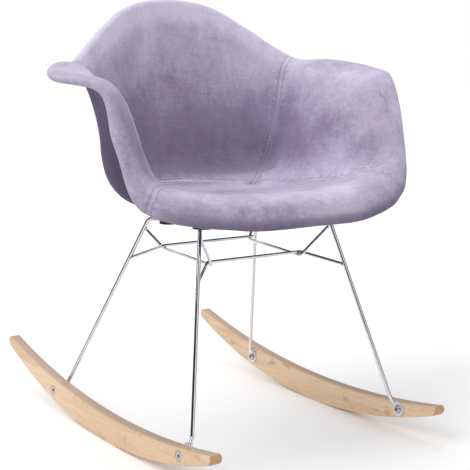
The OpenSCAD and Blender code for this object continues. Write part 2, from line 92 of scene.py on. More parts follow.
def eased(x: Points, start: float, stop: float) -> Points:
    """A smooth rise from 0 at start to 1 at stop."""
    f = np.clip((x - start) / (stop - start), 0, 1)
    return f * f * (3 - 2 * f)


def unit(v: Points) -> Points:
    """Vectors scaled to length one, along the last axis."""
    return v / np.maximum(np.linalg.norm(v, axis=-1, keepdims=True), 1e-12)


def graded(start: float, stop: float, count: int, peaks: Ridges) -> Points:
    """Spaces numbers closer together around some places.

    Args:
        start: The first number.
        stop: The end of the range, which is included.
        count: How many numbers to return.
        peaks: Centre, width and extra density of each place.

    Returns:
        The numbers in rising order.
    """
    x = np.linspace(start, stop, 4001)
    density = np.ones_like(x)
    for centre, width, gain in peaks:
        density += gain * bell(x - centre, width)
    total = np.concatenate([[0.0], np.cumsum((density[1:] + density[:-1]) / 2)])
    return np.interp(np.linspace(0, total[-1], count), total, x)


def relief(distance: Points, ridges: Ridges) -> Points:
    """Adds up smooth ridges and furrows that run beside a line.

    Args:
        distance: Distances from the line, in metres.
        ridges: Distance from the line, width and size of each.

    Returns:
        One value for each distance.
    """
    return sum(size * bell(distance - away, width) for away, width, size in ridges)


def curved(a: Points, b: Points, c: Points, d: Points, f: Points) -> Points:
    """Points of a Catmull-Rom curve at shares f of the way from b to c, with a before and d after them."""
    return 0.5 * (2 * b + (c - a) * f + (2 * a - 5 * b + 4 * c - d) * f ** 2
                  + (3 * b - a - 3 * c + d) * f ** 3)


def waves(p: Points, size: float, seed: int, count: int = 14) -> Points:
    """Smooth seeded noise made of crossing waves, about -1 to 1.

    Args:
        p: Points, in metres.
        size: Length of a wave, in metres.
        seed: Fixed seed of the directions.
        count: How many waves cross.

    Returns:
        One value for each point.
    """
    rng = np.random.default_rng(seed)
    total = np.zeros(p.shape[:-1])
    for _ in range(count):
        direction = rng.normal(size=3)
        direction *= 2 * math.pi / (size * rng.uniform(0.7, 1.6)) / np.linalg.norm(direction)
        total += np.sin(p @ direction + rng.uniform(0, 2 * math.pi))
    return total / math.sqrt(count)


def linked(name: str, data: bpy.types.ID) -> bpy.types.Object:
    """Makes an object of a mesh, lamp or camera and links it to the scene."""
    obj = bpy.data.objects.new(name, data)
    bpy.context.scene.collection.objects.link(obj)
    return obj


def mesh_object(name: str, verts: Points, faces: Sequence[Sequence[int]],
                smooth: bool = True) -> bpy.types.Object:
    """Makes an object from points in metres and links it.

    Args:
        name: Name of the object and its mesh.
        verts: Points of the mesh.
        faces: Point numbers of each face, turning left seen from outside.
        smooth: Whether the faces are shaded smooth.

    Returns:
        The new object, at the origin.
    """
    mesh = bpy.data.meshes.new(name)
    mesh.from_pydata([tuple(v) for v in np.asarray(verts, float)], [], [tuple(f) for f in faces])
    mesh.validate()
    mesh.polygons.foreach_set("use_smooth", [smooth] * len(mesh.polygons))
    mesh.update()
    return linked(name, mesh)


def ring_faces(count: int, around: int, start: int = 0) -> list[tuple[int, ...]]:
    """Faces between rings of points that follow each other.

    Args:
        count: How many rings there are.
        around: How many points a ring has; seen from before the first ring, they turn left.
        start: Number of the first point.

    Returns:
        Point numbers of each face.
    """
    faces: list[tuple[int, ...]] = []
    for low in range(start, start + (count - 1) * around, around):
        high = low + around
        for k in range(around):
            n = (k + 1) % around
            faces.append((low + k, high + k, high + n, low + n))
    return faces


def capped_faces(count: int, around: int, start: int = 0) -> list[tuple[int, ...]]:
    """Faces of a closed body: those of ring_faces, and a flat face over each end.

    Args:
        count: How many rings there are.
        around: How many points a ring has, as for ring_faces.
        start: Number of the first point.

    Returns:
        Point numbers of each face.
    """
    last = start + (count - 1) * around
    ends = [tuple(range(start, start + around)), tuple(range(last, last + around))[::-1]]
    return ring_faces(count, around, start) + ends


def rings_object(name: str, rows: Points, first: Points, last: Points) -> bpy.types.Object:
    """Makes a closed skin through rings of points, with a pole at each end.

    Args:
        name: Name of the object.
        rows: Ring after ring of points, shaped (rings, points, 3).
        first: The pole before the first ring.
        last: The pole after the last ring.

    Returns:
        The new object.
    """
    count, around = rows.shape[:2]
    verts = np.concatenate([first[None], rows.reshape(-1, 3), last[None]])
    final = len(verts) - 1
    pairs = [(k, (k + 1) % around) for k in range(around)]
    faces = [(0, 1 + a, 1 + b) for a, b in pairs]
    faces += ring_faces(count, around, 1)
    faces += [(final, final - around + b, final - around + a) for a, b in pairs]
    return mesh_object(name, verts, faces)


def turned(name: str, profile: Sequence[tuple[float, float]], sides: int = 64) -> bpy.types.Object:
    """Makes a solid turned about X.

    Args:
        name: Name of the object.
        profile: Places along X and radii in millimetres, which start and end at radius 0.
        sides: Sides of its rings.

    Returns:
        The new object.
    """
    angles = -2 * math.pi * np.arange(sides) / sides
    rows = [np.stack([np.full(sides, x), r * np.cos(angles), r * np.sin(angles)], 1)
            for x, r in profile[1:-1]]
    first, last = (np.array([x, 0.0, 0.0]) * MM for x, _ in (profile[0], profile[-1]))
    return rings_object(name, np.array(rows) * MM, first, last)


def ring_points(y: float, z: float, radius: float, count: int) -> list[tuple[float, float]]:
    """Points of a circle in Y and Z."""
    angles = [2 * math.pi * k / count for k in range(count)]
    return [(y + radius * math.cos(a), z + radius * math.sin(a)) for a in angles]


def prism(name: str, outline: Sequence[tuple[float, float]], x0: float, x1: float) -> bpy.types.Object:
    """A closed prism along X, from x0 up to x1, on an outline in Y and Z that turns left, in millimetres."""
    n = len(outline)
    verts = np.array([(x, y, z) for x in (x0, x1) for y, z in outline]) * MM
    faces: list[tuple[int, ...]] = [(k, (k + 1) % n, n + (k + 1) % n, n + k) for k in range(n)]
    faces += [tuple(range(n))[::-1], tuple(range(n, 2 * n))]
    return mesh_object(name, verts, faces, smooth=False)


def mirror(obj: bpy.types.Object) -> None:
    """Mirrors a mesh across X = 0 and keeps its faces looking out."""
    obj.data.transform(Matrix.Scale(-1, 4, Vector((1, 0, 0))))
    obj.data.flip_normals()


def baked(obj: bpy.types.Object, name: str) -> bpy.types.Object:
    """Turns an object with modifiers into a plain mesh of its own.

    Args:
        obj: The object, which is removed.
        name: Name of the new object.

    Returns:
        The new object.
    """
    bpy.context.view_layer.update()
    shaped = obj.evaluated_get(bpy.context.evaluated_depsgraph_get())
    mesh = bpy.data.meshes.new_from_object(shaped)
    bpy.data.objects.remove(obj)
    mesh.name = name
    return linked(name, mesh)


def store(obj: bpy.types.Object, name: str, values: Sequence[float]) -> None:
    """Stores a number under a name for each point of a mesh."""
    layer = obj.data.attributes.new(name, "FLOAT", "POINT")
    layer.data.foreach_set("value", np.asarray(values, np.float32))


def crisp(obj: bpy.types.Object, angle: float = 32.0) -> bpy.types.Object:
    """Shades an object smooth, with edges over an angle in degrees kept sharp."""
    mesh = obj.data
    mesh.polygons.foreach_set("use_smooth", [True] * len(mesh.polygons))
    mesh.set_sharp_from_angle(angle=math.radians(angle))
    mesh.update()
    return obj


def dress(obj: bpy.types.Object, material: bpy.types.Material) -> bpy.types.Object:
    """Gives a new piece its material and its body.

    Args:
        obj: The piece.
        material: What it is made of.

    Returns:
        The same piece.
    """
    obj.data.materials.clear()
    obj.data.materials.append(material)
    obj.data.polygons.foreach_set("material_index", [0] * len(obj.data.polygons))
    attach(obj, BODY)
    log.info("%s: %d faces", obj.name, len(obj.data.polygons))
    return obj


def cut(obj: bpy.types.Object, tools: Sequence[bpy.types.Object], name: str) -> bpy.types.Object:
    """Cuts tools out of an object and removes them.

    Args:
        obj: What is cut.
        tools: Closed meshes to take away.
        name: Name of the result.

    Returns:
        The cut object.
    """
    for tool in tools:
        change = obj.modifiers.new("cut", "BOOLEAN")
        change.operation = "DIFFERENCE"
        change.solver = "EXACT"
        change.object = tool
    result = baked(obj, name)
    for tool in tools:
        bpy.data.objects.remove(tool)
    return result


def paint(node: str, material: bpy.types.Material) -> None:
    """Gives a CAD node a material of its own."""
    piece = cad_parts[node]
    piece.data.materials.clear()
    piece.data.materials.append(material)


def add_node(tree: bpy.types.NodeTree, kind: str, inputs: dict[object, object],
             **properties: object) -> bpy.types.Node:
    """Adds a node to a tree.

    Args:
        tree: The tree of a material, the world or a geometry.
        kind: Type of the node.
        inputs: Values, or sockets to link, by the name or number of the input.
        properties: Settings of the node itself.

    Returns:
        The new node.
    """
    node = tree.nodes.new(kind)
    for key, value in properties.items():
        setattr(node, key, value)
    for key, value in inputs.items():
        socket = node.inputs[key]
        if isinstance(value, bpy.types.NodeSocket):
            tree.links.new(value, socket)
        else:
            socket.default_value = value
    return node


# Finishes


def grey(level: float) -> Colour:
    """A grey of a level."""
    return (level, level, level)


def toned(colour: Colour, share: float) -> Colour:
    """A colour made darker to a share of itself."""
    return tuple(c * share for c in colour)


BLACK, WHITE = grey(0.0), grey(1.0)


class Recipe:
    """A small writer of shader nodes for one material."""

    def __init__(self, name: str) -> None:
        """Starts a material with a Principled shader."""
        self.material = bpy.data.materials.new(name)
        self.material.use_nodes = True
        self.tree = self.material.node_tree
        self.shader = self.tree.nodes["Principled BSDF"]
        self._object: Optional[bpy.types.NodeSocket] = None

    def add(self, kind: str, inputs: Optional[dict[object, object]] = None,
            **properties: object) -> bpy.types.Node:
        """Adds a node with inputs by name or number."""
        return add_node(self.tree, kind, inputs or {}, **properties)

    def place(self, scale: tuple[float, float, float] = (1, 1, 1)) -> bpy.types.NodeSocket:
        """Object coordinates, stretched by a scale."""
        if self._object is None:
            self._object = self.add("ShaderNodeTexCoord").outputs["Object"]
        mapping = self.add("ShaderNodeMapping", {"Vector": self._object, "Scale": scale})
        return mapping.outputs["Vector"]

    def noise(self, size: float, stretch: tuple[float, float, float] = (1, 1, 1), detail: float = 4.0,
              rough: float = 0.55) -> bpy.types.NodeSocket:
        """Noise on Object coordinates with features of about a size in metres."""
        node = self.add("ShaderNodeTexNoise", {"Scale": 1.0 / size, "Detail": detail, "Roughness": rough,
                                               "Vector": self.place(stretch)})
        return node.outputs["Fac"]

    def cells(self, scale: float, stretch: tuple[float, float, float] = (1, 1, 1)) -> bpy.types.NodeSocket:
        """Distance from the middles of cells, with about scale cells to a metre."""
        node = self.add("ShaderNodeTexVoronoi", {"Scale": scale, "Vector": self.place(stretch)})
        return node.outputs["Distance"]

    def ramp(self, fac: bpy.types.NodeSocket, stops: Sequence[tuple[float, Colour]]) -> bpy.types.NodeSocket:
        """A colour ramp with stops at places from 0 to 1."""
        node = self.add("ShaderNodeValToRGB", {"Fac": fac})
        ramp = node.color_ramp
        while len(ramp.elements) < len(stops):
            ramp.elements.new(0.5)
        for element, (place, colour) in zip(ramp.elements, stops):
            element.position = place
            element.color = (*colour, 1.0)
        return node.outputs["Color"]

    def math(self, kind: str, a: object, b: object, clamp: bool = False) -> bpy.types.NodeSocket:
        """A Math node on sockets or numbers."""
        return self.add("ShaderNodeMath", {0: a, 1: b}, operation=kind, use_clamp=clamp).outputs["Value"]

    def mix(self, fac: object, a: bpy.types.NodeSocket, b: Colour) -> bpy.types.NodeSocket:
        """Mixes a colour into another by a factor."""
        return self.add("ShaderNodeMix", {0: fac, 6: a, 7: (*b, 1.0)}, data_type="RGBA").outputs[2]

    def facing_up(self) -> bpy.types.NodeSocket:
        """How far the surface faces up, from -1 to 1."""
        normal = self.add("ShaderNodeNewGeometry").outputs["Normal"]
        return self.add("ShaderNodeSeparateXYZ", {0: normal}).outputs["Z"]

    def drive(self, name: str, out: bpy.types.NodeSocket) -> None:
        """Drives a socket of the shader."""
        self.tree.links.new(out, self.shader.inputs[name])

    def bump(self, height: bpy.types.NodeSocket, depth: float, strength: float = 1.0) -> None:
        """Bumps the surface by a height whose full range is a depth in metres, over earlier bumps."""
        inputs = {"Strength": strength, "Distance": depth, "Height": height}
        normal = self.shader.inputs["Normal"]
        if normal.is_linked:
            inputs["Normal"] = normal.links[0].from_socket
        self.drive("Normal", self.add("ShaderNodeBump", inputs).outputs["Normal"])

    def set(self, **values: object) -> None:
        """Sets numbers and colours on the shader's own sockets."""
        for key, value in values.items():
            if isinstance(value, tuple):
                value = (*value, 1.0)
            self.shader.inputs[key.replace("_", " ")].default_value = value


@dataclass(frozen=True)
class VelvetFinish:
    """Cut pile velvet whose nap lies light or dark, with painted shade and highlight in the same stored
    values.
    """

    name: str
    dark: Colour
    light: Colour
    sheen: float
    mottle: float

    def material(self) -> bpy.types.Material:
        """Writes the velvet: nap with painted shade and highlight, brushed streaks, pile grain and sheen."""
        recipe = Recipe(self.name)
        # Reads the nap with its painted shade and highlight, stored on the mesh.
        shade = recipe.add("ShaderNodeAttribute", attribute_name="nap").outputs["Fac"]
        blotches = recipe.noise(0.05, (1, 1, 0.7), 5.0, 0.65)
        streaks = recipe.noise(0.015, (1, 1, 0.4), 3.0, 0.6)
        specks = recipe.noise(0.006)
        level = recipe.noise(0.0026, (0.14, 0.14, 1), 2.0)
        upright = recipe.noise(0.0026, (1, 1, 0.14), 2.0)
        for layer, share in ((blotches, 1.0), (streaks, 0.42), (specks, 0.38), (level, 0.3), (upright, 0.3)):
            away = recipe.math("MULTIPLY", recipe.math("SUBTRACT", layer, 0.5), self.mottle * share)
            shade = recipe.math("ADD", shade, away)
        shade = recipe.math("ADD", shade, 0.0, clamp=True)
        middle = tuple((a * b) ** 0.5 for a, b in zip(self.dark, self.light))
        recipe.drive("Base Color", recipe.ramp(shade, [(0.0, self.dark), (0.5, middle), (1.0, self.light)]))
        recipe.set(Roughness=0.85, Specular_IOR_Level=0.15)
        recipe.set(Sheen_Weight=self.sheen, Sheen_Roughness=0.35, Sheen_Tint=(0.86, 0.80, 0.96))
        recipe.bump(recipe.noise(0.0011, detail=2.0), 0.00025, 0.5)
        recipe.bump(streaks, 0.0006, 0.3)
        return recipe.material


@dataclass(frozen=True)
class ThreadFinish:
    """Sewing thread."""

    name: str
    colour: Colour

    def material(self) -> bpy.types.Material:
        """Writes a soft thread with a fine twist."""
        recipe = Recipe(self.name)
        twist = recipe.noise(0.0007, detail=2.0)
        dark = toned(self.colour, 0.72)
        recipe.drive("Base Color", recipe.ramp(twist, [(0.35, dark), (0.65, self.colour)]))
        recipe.set(Roughness=0.6, Sheen_Weight=0.2)
        return recipe.material


@dataclass(frozen=True)
class FoamFinish:
    """Upholstery foam behind the velvet."""

    name: str
    colour: Colour

    def material(self) -> bpy.types.Material:
        """Writes foam with open cells."""
        recipe = Recipe(self.name)
        cells = recipe.cells(700.0)
        recipe.drive("Base Color", recipe.ramp(cells, [(0.1, toned(self.colour, 0.7)), (0.6, self.colour)]))
        recipe.set(Roughness=0.95)
        recipe.bump(cells, 0.0006)
        return recipe.material


@dataclass(frozen=True)
class MouldedFinish:
    """Moulded plastic or rubber with a fine grain."""

    name: str
    colour: Colour
    roughness: float
    grain: float

    def material(self) -> bpy.types.Material:
        """Writes a moulded surface with slight wear."""
        recipe = Recipe(self.name)
        wear = recipe.noise(0.012, detail=5.0)
        worn = tuple(min(c * 1.18 + 0.012, 1.0) for c in self.colour)
        recipe.drive("Base Color", recipe.ramp(wear, [(0.35, self.colour), (0.75, worn)]))
        spread = recipe.math("MULTIPLY", wear, 0.16)
        recipe.drive("Roughness", recipe.math("ADD", spread, self.roughness - 0.08, clamp=True))
        recipe.bump(recipe.noise(self.grain, detail=2.0), self.grain * 0.12, 0.5)
        return recipe.material


@dataclass(frozen=True)
class MetalFinish:
    """Chromed or plated steel, or brass."""

    name: str
    colour: Colour
    roughness: float
    brushed: float

    def material(self) -> bpy.types.Material:
        """Writes metal with a faint haze, and fine scratches where it is brushed."""
        recipe = Recipe(self.name)
        haze = recipe.noise(0.02, detail=4.0)
        recipe.drive("Base Color", recipe.ramp(haze, [(0.3, toned(self.colour, 0.9)), (0.7, self.colour)]))
        recipe.set(Metallic=1.0)
        spread = recipe.math("MULTIPLY", haze, self.roughness * 0.6)
        recipe.drive("Roughness", recipe.math("ADD", spread, self.roughness * 0.7))
        if self.brushed > 0:
            recipe.bump(recipe.noise(0.0008, (1, 1, 0.2), 2.0), 0.00004, self.brushed)
        return recipe.material


@dataclass(frozen=True)
class BeechFinish:
    """Lacquered pale beech, with the grain along a rocker or, on its ends, with no direction."""

    name: str
    light: Colour
    dark: Colour
    end_grain: bool = False
    # Colour of the painted shade on faces that look up.
    top: Colour = (0.58, 0.45, 0.36)

    def material(self) -> bpy.types.Material:
        """Writes growth bands, pores, flecks and small knots, and painted shade on faces that look up."""
        recipe = Recipe(self.name)
        along, short = (((1, 1, 1), (1, 1, 1)) if self.end_grain else ((1, 0.045, 1), (1, 0.22, 1)))
        pores = recipe.noise(0.0022, along, 3.0, 0.6)
        colour = recipe.ramp(self._tone(recipe, along, pores), [(0.28, self.dark), (0.62, self.light)])
        dots = recipe.ramp(recipe.cells(1.0 / 0.0042, short), [(0.0, WHITE), (0.16, WHITE), (0.24, BLACK)])
        few = recipe.math("MULTIPLY", dots, recipe.math("MULTIPLY", recipe.noise(0.03, detail=1.0), 0.45))
        colour = recipe.mix(few, colour, toned(self.dark, 0.62))
        knots = recipe.ramp(recipe.noise(0.018, (1, 0.5, 1), 3.0, 0.65), [(0.59, BLACK), (0.70, grey(0.85))])
        colour = recipe.mix(knots, colour, toned(self.dark, 0.8))
        if not self.end_grain:
            # Painted shade on faces that look up: their colour is mixed towards the top colour.
            top_shade_mask = recipe.ramp(recipe.facing_up(), [(0.45, BLACK), (0.85, grey(0.7))])
            colour = recipe.mix(top_shade_mask, colour, toned(self.top, 0.9))
        recipe.drive("Base Color", colour)
        recipe.set(Roughness=0.42, Coat_Weight=0.15, Coat_Roughness=0.25)
        recipe.bump(pores, 0.0001, 0.4)
        return recipe.material

    @staticmethod
    def _tone(recipe: Recipe, along: tuple[float, float, float],
              pores: bpy.types.NodeSocket) -> bpy.types.NodeSocket:
        """How light the wood is: growth bands and pores, under wide clouds."""
        growth = recipe.noise(0.011, along, 5.0, 0.6)
        tone = recipe.math("ADD", recipe.math("MULTIPLY", growth, 0.75), recipe.math("MULTIPLY", pores, 0.25))
        cloud = recipe.math("SUBTRACT", recipe.noise(0.12, (1, 0.4, 1), 2.0), 0.5)
        return recipe.math("ADD", tone, recipe.math("MULTIPLY", cloud, 0.5), clamp=True)


VELVET = VelvetFinish("lilac_velvet", (0.135, 0.110, 0.178), (0.735, 0.674, 0.842), 0.35, 0.50)
OUTER_VELVET = VelvetFinish("outer_velvet", (0.076, 0.062, 0.112), (0.212, 0.176, 0.292), 0.12, 0.5)
WELT_VELVET = VelvetFinish("welt_velvet", (0.28, 0.24, 0.36), (0.62, 0.56, 0.73), 0.3, 0.3)
THREAD = ThreadFinish("lilac_thread", (0.74, 0.69, 0.84))
FOAM = FoamFinish("cream_foam", (0.80, 0.74, 0.55))
TUB_PLASTIC = MouldedFinish("tub_plastic", (0.72, 0.72, 0.70), 0.5, 0.0012)
RUBBER = MouldedFinish("black_rubber", (0.016, 0.016, 0.017), 0.62, 0.0008)
CHROME = MetalFinish("chrome", (0.78, 0.79, 0.81), 0.09, 0.0)
STEEL = MetalFinish("plated_steel", (0.56, 0.57, 0.59), 0.28, 0.6)
BRASS = MetalFinish("insert_brass", (0.66, 0.50, 0.24), 0.3, 0.5)
BOLT_STEEL = MetalFinish("bolt_steel", (0.50, 0.51, 0.53), 0.2, 0.4)
PLATE_CHROME = MetalFinish("plate_chrome", (0.93, 0.93, 0.94), 0.55, 0.0)
BEECH = BeechFinish("pale_beech", (0.86, 0.62, 0.41), (0.66, 0.415, 0.24))
BEECH_END = BeechFinish("beech_end_grain", (0.60, 0.38, 0.20), (0.36, 0.20, 0.10), True)


# Geometry nodes


class Tree:
    """A small writer of a geometry node tree with named inputs."""

    def __init__(self, name: str, inputs: dict[str, tuple[str, object]]) -> None:
        """Starts a tree.

        Args:
            name: Name of the tree.
            inputs: Socket type and default of each named input after the geometry.
        """
        self.tree = bpy.data.node_groups.new(name, "GeometryNodeTree")
        face = self.tree.interface
        face.new_socket(name="Geometry", in_out="INPUT", socket_type="NodeSocketGeometry")
        self.names: dict[str, str] = {}
        for key, (kind, default) in inputs.items():
            socket = face.new_socket(name=key, in_out="INPUT", socket_type=kind)
            if default is not None:
                socket.default_value = default
            self.names[key] = socket.identifier
        face.new_socket(name="Geometry", in_out="OUTPUT", socket_type="NodeSocketGeometry")
        self.inside = self.tree.nodes.new("NodeGroupInput")
        self.outside = self.tree.nodes.new("NodeGroupOutput")

    def add(self, kind: str, inputs: dict[object, object], **properties: object) -> bpy.types.Node:
        """Adds a node with inputs by name or number."""
        return add_node(self.tree, kind, inputs, **properties)

    def given(self, name: str) -> bpy.types.NodeSocket:
        """The tree's own input of a name."""
        return self.inside.outputs[name]

    def finish(self, geometry: bpy.types.NodeSocket) -> None:
        """Realizes the geometry, gives it the tree's material and ends the tree."""
        real = self.add("GeometryNodeRealizeInstances", {"Geometry": geometry})
        shaded = self.add("GeometryNodeSetMaterial", {"Geometry": real.outputs["Geometry"],
                                                      "Material": self.given("Material")})
        self.tree.links.new(shaded.outputs["Geometry"], self.outside.inputs["Geometry"])

    def run(self, source: bpy.types.Object, name: str, values: dict[str, object]) -> bpy.types.Object:
        """Runs the tree on an object and bakes the result.

        Args:
            source: Object whose geometry goes in; it is removed.
            name: Name of the baked object.
            values: Values of the named inputs.

        Returns:
            The baked object.
        """
        change = source.modifiers.new("made", "NODES")
        change.node_group = self.tree
        for key, value in values.items():
            change[self.names[key]] = value
        source.update_tag()
        return baked(source, name)


def stitch_tree() -> Tree:
    """A tree that lays stitches along lines.

    Returns:
        The tree, with inputs for spacing, length, thread, material and seed.
    """
    tree = Tree("stitch_rows", {
        "Spacing": ("NodeSocketFloat", 0.004), "Stitch Length": ("NodeSocketFloat", 0.003),
        "Thread Diameter": ("NodeSocketFloat", 0.0007), "Material": ("NodeSocketMaterial", None),
        "Seed": ("NodeSocketInt", 7)})
    line = tree.add("GeometryNodeMeshToCurve", {"Mesh": tree.given("Geometry")})
    points = tree.add("GeometryNodeResampleCurve", {"Curve": line.outputs["Curve"],
                                                    "Length": tree.given("Spacing")}, mode="LENGTH")
    ball = tree.add("GeometryNodeMeshIcoSphere", {"Radius": 0.5, "Subdivisions": 2})
    soft = tree.add("GeometryNodeSetShadeSmooth", {"Geometry": ball.outputs["Mesh"]})
    tangent = tree.add("GeometryNodeInputTangent", {})
    turn = tree.add("FunctionNodeAlignRotationToVector", {"Vector": tangent.outputs["Tangent"]}, axis="X")
    vary = tree.add("FunctionNodeRandomValue", {"Seed": tree.given("Seed"), 2: 0.9, 3: 1.06},
                    data_type="FLOAT")
    length = tree.add("ShaderNodeMath", {0: tree.given("Stitch Length"), 1: vary.outputs[1]},
                      operation="MULTIPLY")
    size = tree.add("ShaderNodeCombineXYZ", {"X": length.outputs["Value"], "Y": tree.given("Thread Diameter"),
                                             "Z": tree.given("Thread Diameter")})
    many = tree.add("GeometryNodeInstanceOnPoints", {"Points": points.outputs["Curve"],
                                                     "Instance": soft.outputs["Geometry"],
                                                     "Rotation": turn.outputs["Rotation"],
                                                     "Scale": size.outputs["Vector"]})
    tree.finish(many.outputs["Instances"])
    return tree


def tube_tree() -> Tree:
    """A tree that draws round rods, cords or welts along lines.

    Returns:
        The tree, with inputs for diameter, sides, material and seed.
    """
    tree = Tree("round_rods", {"Diameter": ("NodeSocketFloat", 0.006), "Sides": ("NodeSocketInt", 24),
                               "Material": ("NodeSocketMaterial", None), "Seed": ("NodeSocketInt", 1)})
    line = tree.add("GeometryNodeMeshToCurve", {"Mesh": tree.given("Geometry")})
    half = tree.add("ShaderNodeMath", {0: tree.given("Diameter"), 1: 0.5}, operation="MULTIPLY")
    round_ = tree.add("GeometryNodeCurvePrimitiveCircle", {"Resolution": tree.given("Sides"),
                                                           "Radius": half.outputs["Value"]})
    tube = tree.add("GeometryNodeCurveToMesh", {"Curve": line.outputs["Curve"],
                                                "Profile Curve": round_.outputs["Curve"], "Fill Caps": True})
    soft = tree.add("GeometryNodeSetShadeSmooth", {"Geometry": tube.outputs["Mesh"]})
    tree.finish(soft.outputs["Geometry"])
    return tree


def copies_tree() -> Tree:
    """A tree that sets copies of a piece on points, each turned about Z by the points' own angle.

    Returns:
        The tree, with inputs for the piece, its material and seed.
    """
    tree = Tree("set_copies", {"Piece": ("NodeSocketObject", None), "Material": ("NodeSocketMaterial", None),
                               "Seed": ("NodeSocketInt", 1)})
    piece = tree.add("GeometryNodeObjectInfo", {"Object": tree.given("Piece")})
    angle = tree.add("GeometryNodeInputNamedAttribute", {"Name": "turn"}, data_type="FLOAT")
    way = tree.add("ShaderNodeCombineXYZ", {"Z": angle.outputs["Attribute"]})
    turn = tree.add("FunctionNodeEulerToRotation", {"Euler": way.outputs["Vector"]})
    many = tree.add("GeometryNodeInstanceOnPoints", {"Points": tree.given("Geometry"),
                                                     "Instance": piece.outputs["Geometry"],
                                                     "Rotation": turn.outputs["Rotation"]})
    tree.finish(many.outputs["Instances"])
    return tree


def lines_object(name: str, lines: Sequence[Points], closed: bool = False) -> bpy.types.Object:
    """Makes a mesh of edges along lines of points, as the input of a node tree."""
    verts: list[tuple[float, ...]] = []
    edges: list[tuple[int, int]] = []
    for line in lines:
        start = len(verts)
        verts += [tuple(p) for p in line]
        edges += [(start + i, start + i + 1) for i in range(len(line) - 1)]
        if closed:
            edges.append((start + len(line) - 1, start))
    mesh = bpy.data.meshes.new(name)
    mesh.from_pydata(verts, edges, [])
    return linked(name, mesh)


# The tub


def around(s: Points, station: float) -> Points:
    """The way from a station to others, the shorter way round the tub."""
    return (s - station + STATIONS / 2) % STATIONS - STATIONS / 2


